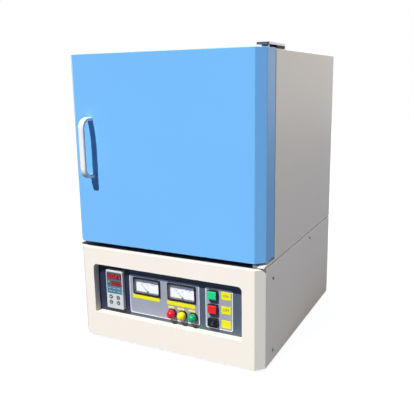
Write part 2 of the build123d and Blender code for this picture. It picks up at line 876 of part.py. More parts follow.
def heating_element(x, y):
    """A U-shaped element: a thin hot loop below two thick cold ends."""
    bend_z = hearth_top + element_floor_gap + element_spacing / 2
    hot_top = chamber_roof_z - cold_reach - taper_length
    near, far = y - element_spacing / 2, y + element_spacing / 2
    start, turn, end = (x, near, bend_z), (x, y, bend_z - element_spacing / 2), (x, far, bend_z)
    path = Line((x, near, hot_top), start) + ThreePointArc(start, turn, end) + Line(end, (x, far, hot_top))
    body = sweep(Plane(origin=(x, near, hot_top), z_dir=DOWN) * Circle(hot_radius), path=path)
    cold_top = strap_top + cold_stub
    cold_bottom = hot_top + taper_length
    for leg in (near, far):
        body += cone(x, leg, hot_top, UP, hot_radius, cold_radius, taper_length)
        body += rod(x, leg, cold_bottom, UP, cold_radius, cold_top - cold_bottom)
    return body


def element_plug(x, y):
    """Ceramic plug of one element, whose flange rests on the roof."""
    half_x, half_y = plug_slot_width / 2 - plug_play, plug_slot_length / 2 - plug_play
    plug = span(x - half_x, x + half_x, y - half_y, y + half_y, chamber_roof_z, insulation_top)
    half_x, half_y = plug_slot_width / 2 + plug_flange, plug_slot_length / 2 + plug_flange
    plug += span(x - half_x, x + half_x, y - half_y, y + half_y, insulation_top, strap_bottom)
    for leg in (y - element_spacing / 2, y + element_spacing / 2):
        plug -= rod(x, leg, chamber_roof_z - over, UP, cold_radius + plug_hole_clearance,
                    strap_bottom - chamber_roof_z + 2 * over)
    return plug


def strap(x0, x1, y0, y1, legs):
    """A flat link clamped round the cold ends that it joins."""
    half = strap_width / 2
    plate = span(x0 - half, x1 + half, y0 - half, y1 + half, strap_bottom, strap_top)
    plate = fillet(plate.edges().filter_by(Axis.Z), strap_corner)
    for x, y in legs:
        plate -= rod(x, y, strap_bottom - over, UP, cold_radius + strap_clearance,
                     strap_thickness + 2 * over)
    return plate


def element_straps():
    """Links that put the elements in series, and the two ends that meet the supply bars."""
    straps = []
    for side in (-1, 1):
        x = side * element_x
        for before, after in zip(element_ys, element_ys[1:]):
            near, far = before + element_spacing / 2, after - element_spacing / 2
            straps.append(strap(x, x, near, far, [(x, near), (x, far)]))
        ends = sorted((x, side * bar_x))
        straps.append(strap(ends[0], ends[1], first_leg_y, first_leg_y, [(x, first_leg_y)]))
    legs = [(-element_x, last_leg_y), (element_x, last_leg_y)]
    straps.append(strap(-element_x, element_x, last_leg_y, last_leg_y, legs))
    return straps


def supply_bars():
    """Two copper bars from the transformer up to the front ends of the element circuit."""
    bars = []
    half = bar_width / 2
    near, far = bar_y - bar_thickness / 2, bar_y + bar_thickness / 2
    foot_near, foot_far = post_terminal_y - half, post_terminal_y + half
    bar_top, lower_bar_top = strap_top + bar_thickness, lower_bar_z + bar_thickness
    for side in (-1, 1):
        inner, outer = side * (bar_x - half), side * (bar_x + half)
        upper = span(inner, outer, first_leg_y - half, far, strap_top, bar_top)
        riser = span(inner, outer, near, far, lower_bar_z, bar_top)
        lower = span(inner, outer, foot_near, far, lower_bar_z, lower_bar_top)
        foot = span(side * (post_terminal_x - half), outer, foot_near, foot_far, lower_bar_z, lower_bar_top)
        bars.append(upper + riser + lower + foot)
    return bars


def thermocouple():
    """Ceramic sheath through the rear wall, with its flange and head behind the tub."""
    tip, seat = chamber_rear - sheath_tip, insulation_rear + inner_skin
    body = rod(0, tip, sheath_z, BACKWARD, sheath_radius, seat - tip)
    body += rod(0, seat, sheath_z, BACKWARD, thermo_flange_radius, thermo_flange_height)
    body += rod(0, seat, sheath_z, BACKWARD, thermo_head_radius, thermo_head_length)
    return [body]


def fan_frame():
    """Square fan frame with its motor base on four arms."""
    body = pad(0, fan_z, fan_size, fan_size, fan_corner, fan_front, back - skin)
    body -= rod(0, fan_front - over, fan_z, BACKWARD, fan_bore, fan_depth + 2 * over)
    near, far = back - skin - fan_base_height, back - skin
    reach = fan_bore + over
    body += span(-reach, reach, near, far, fan_z - fan_arm_width / 2, fan_z + fan_arm_width / 2)
    body += span(-fan_arm_width / 2, fan_arm_width / 2, near, far, fan_z - reach, fan_z + reach)
    body += rod(0, near, fan_z, BACKWARD, fan_hub_radius, fan_base_height)
    body -= rod(0, near - over, fan_z, BACKWARD, shaft_radius + shaft_clearance, fan_base_height + 2 * over)
    return [body]


def fan_rotor():
    """Fan hub with twisted blades and its shaft."""
    hub_back = back - skin - fan_base_height - rotor_float
    hub_front = hub_back - fan_hub_length
    body = rod(0, hub_front, fan_z, BACKWARD, fan_hub_radius, fan_hub_length)
    body = fillet(body.faces().sort_by(Axis.Y)[0].edges(), rim_radius)
    body += rod(0, hub_back, fan_z, BACKWARD, shaft_radius, shaft_length)
    middle = (hub_front + hub_back) / 2
    spoke = Plane(origin=(0, middle, fan_z), x_dir=BACKWARD, z_dir=UP)
    section = Rectangle(blade_chord, blade_thickness)
    root = spoke.offset(fan_hub_radius - blade_root_depth) * (Rot(0, 0, 90 - blade_root_angle) * section)
    tip = spoke.offset(blade_radius) * (Rot(0, 0, 90 - blade_tip_angle) * section)
    blade = loft([root, tip])
    axis = Axis((0, middle, fan_z), BACKWARD)
    for i in range(fan_blades):
        body += blade.rotate(axis, 360 * i / fan_blades)
    return [body]


def fan_guard():
    """Stamped finger guard on the outside of the rear cover."""
    outer = fan_bore + guard_rim_width
    pitch = (outer - guard_hub_radius) / guard_rings
    body = rod(0, back, fan_z, BACKWARD, guard_hub_radius, guard_thickness)
    for i in range(1, guard_rings + 1):
        radius = guard_hub_radius + pitch * i
        width = guard_rim_width if i == guard_rings else guard_ring_width
        ring = rod(0, back, fan_z, BACKWARD, radius, guard_thickness)
        ring -= rod(0, back - over, fan_z, BACKWARD, radius - width, guard_thickness + 2 * over)
        body += ring
    half = guard_ring_width / 2
    reach = outer - half
    body += span(-reach, reach, back, back + guard_thickness, fan_z - half, fan_z + half)
    body += span(-half, half, back, back + guard_thickness, fan_z - reach, fan_z + reach)
    return [body]


def hinge_block(low, high):
    """Steel pivot block in a door corner."""
    near, far = hinge_y - block_reach, hinge_y + block_reach
    return span(hinge_x - block_reach, half_width - skin, near, far, low, high)


def door_shell():
    """Chamfered blue door casing, folded from one sheet, with the pivot blocks welded in."""
    body = casing_block(0, door_back, door_bottom, cabinet_top)
    levels = body.faces().sort_by(Axis.Z)
    body = soften_rims(body, [levels[0], levels[-1]], door_back)
    body -= casing_block(skin, door_back + over, door_bottom + skin, cabinet_top - skin)
    body += hinge_block(door_bottom + skin, door_bottom + skin + block_height)
    body += hinge_block(cabinet_top - skin - block_height, cabinet_top - skin)
    bore = skin + block_height + over
    body -= rod(hinge_x, hinge_y, door_bottom - over, UP, pin_radius + pin_clearance, bore)
    body -= rod(hinge_x, hinge_y, cabinet_top + over, DOWN, pin_radius + pin_clearance, bore)
    return [body]


def door_inner_plate():
    """Inner plate of the door, open where the plug passes."""
    inner = half_width - skin
    plate = span(-inner, inner, door_back - skin, door_back, door_bottom + skin, cabinet_top - skin)
    return [plate - span(-plug_root / 2, plug_root / 2, door_back - skin - over, door_back + over,
                         chamber_z - plug_root_height / 2, chamber_z + plug_root_height / 2)]


def door_insulation():
    """Fibre board inside the door, behind the plug."""
    half = plug_root / 2 + door_board_margin
    half_z = plug_root_height / 2 + door_board_margin
    return [span(-half, half, front + skin, door_back - skin, chamber_z - half_z, chamber_z + half_z)]


def door_plug():
    """Tapered fibre plug that closes the chamber mouth."""
    root = span(-plug_root / 2, plug_root / 2, door_back - skin, door_back,
                chamber_z - plug_root_height / 2, chamber_z + plug_root_height / 2)
    wide = facing(0, door_back, chamber_z) * Rectangle(plug_root, plug_root_height)
    tip_width, tip_height = plug_root - 2 * plug_taper, plug_root_height - 2 * plug_taper
    tip = facing(0, chamber_front - plug_end_gap, chamber_z) * Rectangle(tip_width, tip_height)
    return [root + loft([wide, tip])]


def door_seal():
    """Fibre rope seal round the plug."""
    width, height = plug_root + 2 * seal_inset, plug_root_height + 2 * seal_inset
    far = cabinet_front - seal_gap
    ring = pad(0, chamber_z, width + 2 * seal_width, height + 2 * seal_width, seal_corner + seal_width,
               door_back, far)
    return [ring - pad(0, chamber_z, width, height, seal_corner, door_back - over, far + over)]


def handle():
    """White bow handle on the door front."""
    outer = front - handle_reach + handle_thickness / 2
    top, bottom = handle_z + handle_spacing / 2, handle_z - handle_spacing / 2
    corners = [(front, top), (outer, top), (outer, bottom), (front, bottom)]
    path = FilletPolyline(*[(handle_x, y, z) for y, z in corners], radius=handle_bend)
    section = facing(handle_x, front, top) * RectangleRounded(handle_width, handle_thickness, handle_corner)
    return [sweep(section, path=path)]


def upper_hinge_plate():
    """Top hinge plate over the door, with its collar and pin."""
    plate = span(hinge_plate_left, half_width, front + hinge_plate_near, front + hinge_plate_far,
                 hinge_plate_bottom, hinge_plate_top)
    plate = fillet(plate.edges().filter_by(Axis.Z), hinge_plate_corner)
    plate += rod(hinge_x, hinge_y, hinge_plate_bottom, DOWN, pin_collar_radius, hinge_rise - pin_collar_gap)
    plate += rod(hinge_x, hinge_y, hinge_plate_bottom, DOWN, pin_radius, hinge_rise + pin_engagement)
    for setback in hinge_screw_setbacks:
        y = front + setback
        plate -= rod(hinge_screw_x, y, hinge_plate_bottom - over, UP,
                     hinge_screw_radius + screw_clearance, hinge_plate_thickness + 2 * over)
        plate -= countersunk_head(y, screw_clearance)
    return [plate]


def countersunk_head(y, clearance):
    """The tapered head of a hinge screw, flush with the top of the hinge plate."""
    return cone(hinge_screw_x, y, hinge_plate_top, DOWN, hinge_head_radius + clearance,
                hinge_screw_radius + clearance, hinge_head_height)


def hinge_spacer():
    """Dark packing strip under the top hinge plate."""
    strip = span(hinge_plate_left, half_width, cabinet_front + spacer_setback, front + hinge_plate_far,
                 cabinet_top, hinge_plate_bottom)
    for setback in hinge_screw_setbacks:
        strip -= rod(hinge_screw_x, front + setback, cabinet_top - over, UP,
                     hinge_screw_radius + screw_clearance, hinge_rise + 2 * over)
    return [strip]


def hinge_screws():
    """Countersunk screws that hold the top hinge plate."""
    screws = []
    neck = hinge_plate_top - hinge_head_height
    for setback in hinge_screw_setbacks:
        y = front + setback
        shank = rod(hinge_screw_x, y, neck, DOWN, hinge_screw_radius, hinge_screw_length)
        screws.append(countersunk_head(y, 0) + shank)
    return screws


def lower_hinge_pin():
    """Lower door pivot, with a collar that carries the door and a stub in the deck tongue."""
    pin = rod(hinge_x, hinge_y, deck_top, UP, pin_collar_radius, door_lift - pin_collar_gap)
    pin += rod(hinge_x, hinge_y, deck_top, UP, pin_radius, door_lift + pin_engagement)
    return [pin + rod(hinge_x, hinge_y, deck_top, DOWN, pin_radius - pin_stub_clearance, deck_thickness)]


def catch_magnet():
    """Magnet on the front frame that holds the door shut."""
    left = -half_width + skin + magnet_inset
    middle = (door_bottom + cabinet_top) / 2
    return [span(left, left + magnet_width, door_back + seal_gap, cabinet_front,
                 middle - magnet_height / 2, middle + magnet_height / 2)]


def transformer_core():
    """Laminated core with two windows round its middle limb."""
    half = core_width / 2
    y0, y1 = transformer_y - core_depth / 2, transformer_y + core_depth / 2
    body = span(-half, half, y0, y1, pan_top, core_top)
    for x0, x1 in ((-half + core_limb, -core_limb), (core_limb, half - core_limb)):
        body -= span(x0, x1, y0 - over, y1 + over, pan_top + core_limb, core_top - core_limb)
    return [body]


def transformer_coil():
    """Winding round the middle limb, with its two low-voltage terminal posts."""
    bottom = pan_top + core_limb + coil_play
    place = Plane(origin=(0, transformer_y, bottom))
    outer = RectangleRounded(2 * coil_half_width, 2 * coil_half_depth, coil_corner)
    coil = extrude(place * outer, amount=coil_top - bottom)
    inner_x, inner_y = core_limb + coil_play, core_depth / 2 + coil_play
    coil -= span(-inner_x, inner_x, transformer_y - inner_y, transformer_y + inner_y,
                 bottom - over, coil_top + over)
    for x in (-post_terminal_x, post_terminal_x):
        coil += rod(x, post_terminal_y, coil_top, UP, post_terminal_radius, post_terminal_height)
    return [coil]


def heat_sink():
    """Finned aluminium heat sink of the power module."""
    left, right = sink_x - sink_width / 2, sink_x + sink_width / 2
    y = front + sink_setback
    body = span(left, right, y, y + sink_plate, pan_top, pan_top + sink_height)
    pitch = (sink_width - fin_thickness) / (fin_count - 1)
    for i in range(fin_count):
        x = left + pitch * i
        body += span(x, x + fin_thickness, y + sink_plate, y + sink_depth, pan_top, pan_top + sink_height)
    return [body]


def thyristor_module():
    """Power module on the flat face of the heat sink."""
    y = front + sink_setback
    step, middle = y - module_depth, pan_top + sink_height / 2
    body = pad(sink_x, middle, module_width, module_height, rim_radius, step, y)
    lid = pad(sink_x, middle, module_lid_width, module_height, rim_radius, step - module_lid_height, step)
    return [body + lid]


def contactor():
    """Contactor with stepped terminal ends."""
    left, right = contactor_x - contactor_width / 2, contactor_x + contactor_width / 2
    y0 = front + contactor_setback
    y1 = y0 + contactor_depth
    body = span(left, right, y0, y1, pan_top, pan_top + contactor_height)
    for y_low, y_high in ((y0 - over, y0 + contactor_step), (y1 - contactor_step, y1 + over)):
        body -= span(left - over, right + over, y_low, y_high,
                     pan_top + contactor_height - contactor_step_height, pan_top + contactor_height + over)
    return [body]


def terminal_block():
    """Screw terminal strip near the mains gland."""
    length = terminal_poles * terminal_pitch + terminal_wall
    left = terminal_x - length / 2
    y = back - terminal_rear_gap
    far = y + terminal_depth
    body = span(left, left + length, y, far, pan_top, pan_top + terminal_height)
    for i in range(terminal_poles):
        x = left + terminal_wall + terminal_pitch * i
        for y0, y1 in ((y - over, y + terminal_well), (far - terminal_well, far + over)):
            body -= span(x, x + terminal_pitch - terminal_wall, y0, y1,
                         pan_top + terminal_height / 2, pan_top + terminal_height + over)
    return [body]


def cable_gland():
    """Gland at the mains inlet, with its lock nut inside the rear panel."""
    body = hex_nut(gland_x, back, gland_z, BACKWARD, gland_nut_radius, gland_nut_height)
    dome_length = gland_reach - gland_nut_height
    dome = rod(gland_x, back + gland_nut_height, gland_z, BACKWARD, gland_radius, dome_length)
    body += fillet(dome.faces().sort_by(Axis.Y)[-1].edges(), gland_rounding)
    body += rod(gland_x, back, gland_z, FORWARD, gland_thread_radius, skin + gland_nut_height)
    body += hex_nut(gland_x, back - skin, gland_z, FORWARD, gland_nut_radius, gland_nut_height)
    bore_start = back - skin - gland_nut_height - over
    bore_length = back + gland_reach + over - bore_start
    body -= rod(gland_x, bore_start, gland_z, BACKWARD, gland_bore_radius, bore_length)
    return [body]


def build():
    """Write every sub-part."""
    os.makedirs("parts", exist_ok=True)
    single_parts = [
        base_shell, base_chassis, base_rear_panel, rubber_feet, side_screws, recess_tray, fascia_panels,
        lamp_bodies, switch_housings, key_barrel, seam_gasket, deck_plate, outer_shell, front_frame,
        rear_cover, inner_shell, chamber_boards, hearth_plate, element_straps, supply_bars,
        thermocouple, fan_frame, fan_rotor, fan_guard, door_shell, door_inner_plate, door_insulation,
        door_plug, door_seal, handle, upper_hinge_plate, hinge_spacer, hinge_screws, lower_hinge_pin,
        catch_magnet, transformer_core, transformer_coil, heat_sink, thyristor_module, contactor,
        terminal_block, cable_gland,
    ]
    for make in single_parts:
        save(make.__name__, make())
    save("heating_elements", [heating_element(x, y) for x, y in element_places()])
    save("element_plugs", [element_plug(x, y) for x, y in element_places()])
    case, window, keys = controller_parts()
    save("controller_case", [case])
    save("controller_window", [window])
    for number, key in enumerate(keys, start=1):
        save(f"controller_key_{number}", [key])
    cases, dials, glasses, needles = meter_parts()
    save("meter_cases", cases)
    save("meter_dials", dials)
    save("meter_windows", glasses)
    save("voltmeter_needle", [needles[0]])
    save("ammeter_needle", [needles[1]])
    for colour, x in zip(("red", "yellow", "green"), lamp_xs):
        save(f"{colour}_lamp_lens", lamp_lens(x))
    save("start_button", push_button(switch_zs[0]))
    save("stop_button", push_button(switch_zs[1]))


build()
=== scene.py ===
import json
import math

import bmesh
import bpy
from mathutils import Matrix, Vector

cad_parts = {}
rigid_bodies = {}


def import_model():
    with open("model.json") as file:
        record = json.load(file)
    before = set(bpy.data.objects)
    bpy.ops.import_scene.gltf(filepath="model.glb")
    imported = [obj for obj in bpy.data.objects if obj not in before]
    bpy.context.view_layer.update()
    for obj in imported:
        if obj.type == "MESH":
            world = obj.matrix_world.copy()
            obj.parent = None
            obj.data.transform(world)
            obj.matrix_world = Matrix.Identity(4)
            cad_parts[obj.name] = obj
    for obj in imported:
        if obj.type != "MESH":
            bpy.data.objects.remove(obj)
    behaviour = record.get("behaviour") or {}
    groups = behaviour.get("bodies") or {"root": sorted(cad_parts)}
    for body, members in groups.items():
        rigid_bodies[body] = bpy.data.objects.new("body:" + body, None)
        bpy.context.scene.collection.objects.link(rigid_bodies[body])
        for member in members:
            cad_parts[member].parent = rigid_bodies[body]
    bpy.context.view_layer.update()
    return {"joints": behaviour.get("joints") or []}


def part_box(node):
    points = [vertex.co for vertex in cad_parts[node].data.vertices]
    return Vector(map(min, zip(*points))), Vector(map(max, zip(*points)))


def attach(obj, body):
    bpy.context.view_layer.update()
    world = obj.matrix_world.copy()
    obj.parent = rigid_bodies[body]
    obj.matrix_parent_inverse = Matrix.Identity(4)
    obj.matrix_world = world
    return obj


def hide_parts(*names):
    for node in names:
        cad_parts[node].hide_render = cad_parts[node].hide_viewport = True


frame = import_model()
MM = 0.001
nodes = bpy.data.objects

# Camera. It stands where the photographer stood, about 1.5 m in front and to the right, a little above the
# furnace, and its lens gives the photograph's field of view.
yaw, pitch, roll = math.radians(26.79), math.radians(12.02), math.radians(-0.90)
ahead = Vector((-math.sin(yaw) * math.cos(pitch), math.cos(yaw) * math.cos(pitch), -math.sin(pitch)))
level = Vector((math.cos(yaw), math.sin(yaw), 0))
above = level.cross(ahead)
right_of_frame = math.cos(roll) * level + math.sin(roll) * above
top_of_frame = math.cos(roll) * above - math.sin(roll) * level
focal_length, film_width = 48.27, 36.0
camera_place = (0.627, -1.2705, 0.617)
lens_data = bpy.data.cameras.new("camera")
lens_data.lens = focal_length
lens_data.sensor_width = film_width
lens_data.clip_end = 60.0
camera = bpy.data.objects.new("camera", lens_data)
camera.matrix_world = Matrix((right_of_frame, top_of_frame, -ahead)).transposed().to_4x4()
camera.location = camera_place
bpy.context.scene.collection.objects.link(camera)
bpy.context.scene.camera = camera

# Studio. A pale floor without an edge in view, and pale surroundings behind that fill the shadows a little.
# One strong soft-edged lamp from the upper left in front casts the shadows of the handle and the recess. They
# stay deep because the surroundings in front are dark.
dark_front = (0.03, 0.04, 0.075, 1)
pale_behind = (1.92, 1.82, 1.68, 1)
floor_tone = (0.10, 0.13, 0.20, 1)
floor_size = 14.0
bpy.context.scene.view_settings.view_transform = "Standard"
surroundings = bpy.data.worlds.new("surroundings")
bpy.context.scene.world = surroundings
surroundings.use_nodes = True
sky_nodes, sky_links = surroundings.node_tree.nodes, surroundings.node_tree.links
fill_light = sky_nodes["Background"]
fill_light.inputs["Strength"].default_value = 1.0
sky_place = sky_nodes.new("ShaderNodeTexCoord")
sky_parts = sky_nodes.new("ShaderNodeSeparateXYZ")
sky_links.new(sky_place.outputs["Generated"], sky_parts.inputs[0])
towards_back = sky_nodes.new("ShaderNodeMapRange")
towards_back.interpolation_type = "SMOOTHSTEP"
towards_back.inputs["From Min"].default_value = 0.0
towards_back.inputs["From Max"].default_value = 0.55
sky_links.new(sky_parts.outputs["Y"], towards_back.inputs["Value"])
sky_colour = sky_nodes.new("ShaderNodeMix")
sky_colour.data_type = "RGBA"
sky_colour.inputs[6].default_value = dark_front
sky_colour.inputs[7].default_value = pale_behind
sky_links.new(towards_back.outputs[0], sky_colour.inputs[0])
sky_links.new(sky_colour.outputs[2], fill_light.inputs["Color"])
white_ground = sky_nodes.new("ShaderNodeBackground")
white_ground.inputs["Color"].default_value = (1, 1, 1, 1)
seen_directly = sky_nodes.new("ShaderNodeLightPath")
sky_mix = sky_nodes.new("ShaderNodeMixShader")
sky_links.new(seen_directly.outputs["Is Camera Ray"], sky_mix.inputs["Fac"])
sky_links.new(fill_light.outputs[0], sky_mix.inputs[1])
sky_links.new(white_ground.outputs[0], sky_mix.inputs[2])
sky_links.new(sky_mix.outputs[0], sky_nodes["World Output"].inputs["Surface"])

key_lamp = bpy.data.lights.new("key_lamp", "SUN")
key_lamp.energy = 5.2
key_lamp.angle = math.radians(1.6)
key_lamp.color = (1.0, 0.985, 0.96)
key = bpy.data.objects.new("key_lamp", key_lamp)
key_from = Vector((-0.135, -0.605, 0.786))
key.rotation_euler = key_from.to_track_quat("Z", "Y").to_euler()
bpy.context.scene.collection.objects.link(key)

half_floor = floor_size / 2
floor_mesh = bpy.data.meshes.new("floor")
floor_mesh.from_pydata([(-half_floor, -half_floor, 0), (half_floor, -half_floor, 0),
                        (half_floor, half_floor, 0), (-half_floor, half_floor, 0)], [], [(0, 1, 2, 3)])
floor = bpy.data.objects.new("floor", floor_mesh)
bpy.context.scene.collection.objects.link(floor)
floor_paint = bpy.data.materials.new("pale_floor")
floor_paint.use_nodes = True
floor_nodes, floor_links = floor_paint.node_tree.nodes, floor_paint.node_tree.links
floor_shader = floor_nodes["Principled BSDF"]
floor_shader.inputs["Base Color"].default_value = floor_tone
floor_shader.inputs["Roughness"].default_value = 0.9
floor_shader.inputs["Specular IOR Level"].default_value = 0.0
floor_glow = floor_nodes.new("ShaderNodeEmission")
floor_glow.inputs["Color"].default_value = (0.93, 0.93, 0.93, 1)
floor_seen = floor_nodes.new("ShaderNodeLightPath")
floor_lit = floor_nodes.new("ShaderNodeAddShader")
floor_mix = floor_nodes.new("ShaderNodeMixShader")
floor_links.new(floor_shader.outputs[0], floor_lit.inputs[0])
floor_links.new(floor_glow.outputs[0], floor_lit.inputs[1])
floor_links.new(floor_seen.outputs["Is Camera Ray"], floor_mix.inputs["Fac"])
floor_links.new(floor_shader.outputs[0], floor_mix.inputs[1])
floor_links.new(floor_lit.outputs[0], floor_mix.inputs[2])
floor_links.new(floor_mix.outputs[0], floor_nodes["Material Output"].inputs["Surface"])
floor_mesh.materials.append(floor_paint)


# Rubber feet. Four moulded black feet with a matt, slightly dusty skin, pushed into the floor pan. Their
# finish is the first to use the shared grain and edge effects, which the later skins have too.
def new_group(name, inputs, outputs):
    """A shader node group with its sockets and its two ends."""
    group = bpy.data.node_groups.new(name, "ShaderNodeTree")
    for label, kind, value in inputs:
        socket = group.interface.new_socket(label, in_out="INPUT", socket_type=kind)
        if value is not None:
            socket.default_value = value
    for label, kind in outputs:
        group.interface.new_socket(label, in_out="OUTPUT", socket_type=kind)
    return group, group.nodes.new("NodeGroupInput"), group.nodes.new("NodeGroupOutput")


def add_math(tree, operation, first, second):
    """A math node on two sockets or numbers. Returns its output."""
    node = tree.nodes.new("ShaderNodeMath")
    node.operation = operation
    for slot, value in zip(node.inputs, (first, second)):
        if isinstance(value, (int, float)):
            slot.default_value = value
        else:
            tree.links.new(value, slot)
    return node.outputs[0]


def add_blend(tree, share, base, colour):
    """A mix of a base socket with a colour, by the share from a socket. Returns its output."""
    blend = tree.nodes.new("ShaderNodeMix")
    blend.data_type = "RGBA"
    tree.links.new(share, blend.inputs[0])
    tree.links.new(base, blend.inputs[6])
    blend.inputs[7].default_value = list(colour) + [1]
    return blend.outputs[2]


def build_grain_group():
    """Fine grain and broad mottling of a sprayed or moulded skin, in the object's own space."""
    group, ins, outs = new_group(
        "skin_grain",
        [("Size", "NodeSocketFloat", 900.0), ("Patch Size", "NodeSocketFloat", 9.0)],
        [("Height", "NodeSocketFloat"), ("Mottle", "NodeSocketFloat")])
    place = group.nodes.new("ShaderNodeTexCoord")
    fine = group.nodes.new("ShaderNodeTexNoise")
    fine.inputs["Detail"].default_value = 2.0
    group.links.new(place.outputs["Object"], fine.inputs["Vector"])
    group.links.new(ins.outputs["Size"], fine.inputs["Scale"])
    broad = group.nodes.new("ShaderNodeTexNoise")
    broad.inputs["Detail"].default_value = 4.0
    broad.inputs["Roughness"].default_value = 0.62
    group.links.new(place.outputs["Object"], broad.inputs["Vector"])
    group.links.new(ins.outputs["Patch Size"], broad.inputs["Scale"])
    group.links.new(fine.outputs["Fac"], outs.inputs["Height"])
    group.links.new(broad.outputs["Fac"], outs.inputs["Mottle"])
    return group


def build_edge_group():
    """A mask of outer edges, broken up by noise, that marks edge wear and a painted highlight along edges."""
    group, ins, outs = new_group(
        "edge_wear_and_highlight",
        [("Width", "NodeSocketFloat", 0.0012), ("Break Up", "NodeSocketFloat", 60.0)],
        [("Mask", "NodeSocketFloat")])
    rounded_normal = group.nodes.new("ShaderNodeBevel")
    rounded_normal.samples = 4
    group.links.new(ins.outputs["Width"], rounded_normal.inputs["Radius"])
    surface = group.nodes.new("ShaderNodeNewGeometry")
    agree = group.nodes.new("ShaderNodeVectorMath")
    agree.operation = "DOT_PRODUCT"
    group.links.new(rounded_normal.outputs[0], agree.inputs[0])
    group.links.new(surface.outputs["Normal"], agree.inputs[1])
    place = group.nodes.new("ShaderNodeTexCoord")
    chips = group.nodes.new("ShaderNodeTexNoise")
    chips.inputs["Detail"].default_value = 3.0
    group.links.new(place.outputs["Object"], chips.inputs["Vector"])
    group.links.new(ins.outputs["Break Up"], chips.inputs["Scale"])
    turn = add_math(group, "SUBTRACT", 1.0, agree.outputs["Value"])
    edge = add_math(group, "MULTIPLY", turn, 6.0)
    patchy = add_math(group, "MULTIPLY", edge, chips.outputs["Fac"])
    held = group.nodes.new("ShaderNodeClamp")
    group.links.new(patchy, held.inputs["Value"])
    group.links.new(held.outputs[0], outs.inputs["Mask"])
    return group


grain_group = build_grain_group()
edge_group = build_edge_group()


def finish(name, colour, roughness, grain=900.0, depth=0.02, patch=9.0, shift=0.05, edge=None, edge_share=0.5,
           metal=0.0, specular=0.5, coat=0.0, rough_shift=0.08):
    """A finish with grain, slight changes of colour and gloss, and edges that, if they have a colour, are
    painted lighter as wear and as a painted highlight.

    The grain and patch values are noise scales, the depth of the grain is in millimetres, and the shifts
    are the shares by which colour and gloss change.
    """
    material = bpy.data.materials.new(name)
    material.use_nodes = True
    tree = material.node_tree
    shader = tree.nodes["Principled BSDF"]
    skin = tree.nodes.new("ShaderNodeGroup")
    skin.node_tree = grain_group
    skin.inputs["Size"].default_value = grain
    skin.inputs["Patch Size"].default_value = patch
    tint = tree.nodes.new("ShaderNodeMix")
    tint.data_type = "RGBA"
    tint.inputs[6].default_value = [max(c * (1 - shift), 0) for c in colour] + [1]
    tint.inputs[7].default_value = [min(c * (1 + shift), 1) for c in colour] + [1]
    tree.links.new(skin.outputs["Mottle"], tint.inputs[0])
    shade = tint.outputs[2]
    # Edges painted in the edge colour: wear, and a painted highlight where edges would catch the light.
    if edge:
        edge_wear_highlight = tree.nodes.new("ShaderNodeGroup")
        edge_wear_highlight.node_tree = edge_group
        share = add_math(tree, "MULTIPLY", edge_wear_highlight.outputs["Mask"], edge_share)
        shade = add_blend(tree, share, shade, edge)
    tree.links.new(shade, shader.inputs["Base Color"])
    gloss = tree.nodes.new("ShaderNodeMapRange")
    gloss.inputs["To Min"].default_value = max(roughness - rough_shift, 0.02)
    gloss.inputs["To Max"].default_value = min(roughness + rough_shift, 1.0)
    tree.links.new(skin.outputs["Mottle"], gloss.inputs["Value"])
    tree.links.new(gloss.outputs[0], shader.inputs["Roughness"])
    bump = tree.nodes.new("ShaderNodeBump")
    bump.inputs["Strength"].default_value = 0.35
    bump.inputs["Distance"].default_value = depth * MM
    tree.links.new(skin.outputs["Height"], bump.inputs["Height"])
    tree.links.new(bump.outputs[0], shader.inputs["Normal"])
    shader.inputs["Metallic"].default_value = metal
    shader.inputs["Specular IOR Level"].default_value = specular
    shader.inputs["Coat Weight"].default_value = coat
    return material


def dress(material, *names):
    """Gives CAD nodes their finish."""
    for name in names:
        mesh = nodes[name].data
        mesh.materials.clear()
        mesh.materials.append(material)


foot_rubber = finish("foot_rubber", (0.022, 0.022, 0.023), 0.78, grain=1400, depth=0.05, shift=0.25,
                     edge=(0.09, 0.09, 0.09), edge_share=0.4)
dress(foot_rubber, "rubber_feet")

# Floor pan, posts and rails of the base. Folded and welded from zinc-plated sheet, whose crystals show as a
# faint patchwork of light and dark.
zinc_plate = finish("zinc_plate", (0.58, 0.60, 0.62), 0.42, grain=260, depth=0.01, patch=70, shift=0.16,
                    metal=0.9, rough_shift=0.14)
dress(zinc_plate, "base_chassis")


# Transformer. A stack of varnished steel laminations, whose edges run across it, with a wound coil wrapped in
# resin-soaked tape and two copper posts.
def tint_base(material, share, colour):
    """Mixes a colour into a finish, by the share from a socket."""
    tree = material.node_tree
    base_input = tree.nodes["Principled BSDF"].inputs["Base Color"]
    tree.links.new(add_blend(tree, share, base_input.links[0].from_socket, colour), base_input)


def striped(name, colour, dark, axis, pitch, roughness, metal=0.0, depth=0.15, wave="SIN", share=1.0):
    """A finish with fine parallel lines across an axis, a pitch in millimetres apart."""
    material = finish(name, colour, roughness, metal=metal)
    tree = material.node_tree
    place = tree.nodes.new("ShaderNodeTexCoord")
    lines = tree.nodes.new("ShaderNodeTexWave")
    lines.bands_direction = axis
    lines.wave_profile = wave
    lines.inputs["Scale"].default_value = 2 * math.pi / (20 * pitch * MM)
    lines.inputs["Distortion"].default_value = 0.6
    lines.inputs["Detail"].default_value = 1.0
    tree.links.new(place.outputs["Object"], lines.inputs["Vector"])
    tint_base(material, add_math(tree, "MULTIPLY", lines.outputs["Fac"], share), dark)
    bump = tree.nodes["Bump"]
    bump.inputs["Distance"].default_value = depth * MM
    tree.links.new(lines.outputs["Fac"], bump.inputs["Height"])
    return material


core_laminations = striped("core_laminations", (0.10, 0.09, 0.08), (0.03, 0.028, 0.026), "Y", 1.0, 0.45,
                           metal=0.5)
dress(core_laminations, "transformer_core")
coil_tape = striped("coil_tape", (0.42, 0.27, 0.11), (0.22, 0.13, 0.05), "Z", 9.0, 0.55, depth=0.3,
                    wave="SAW")
dress(coil_tape, "transformer_coil")

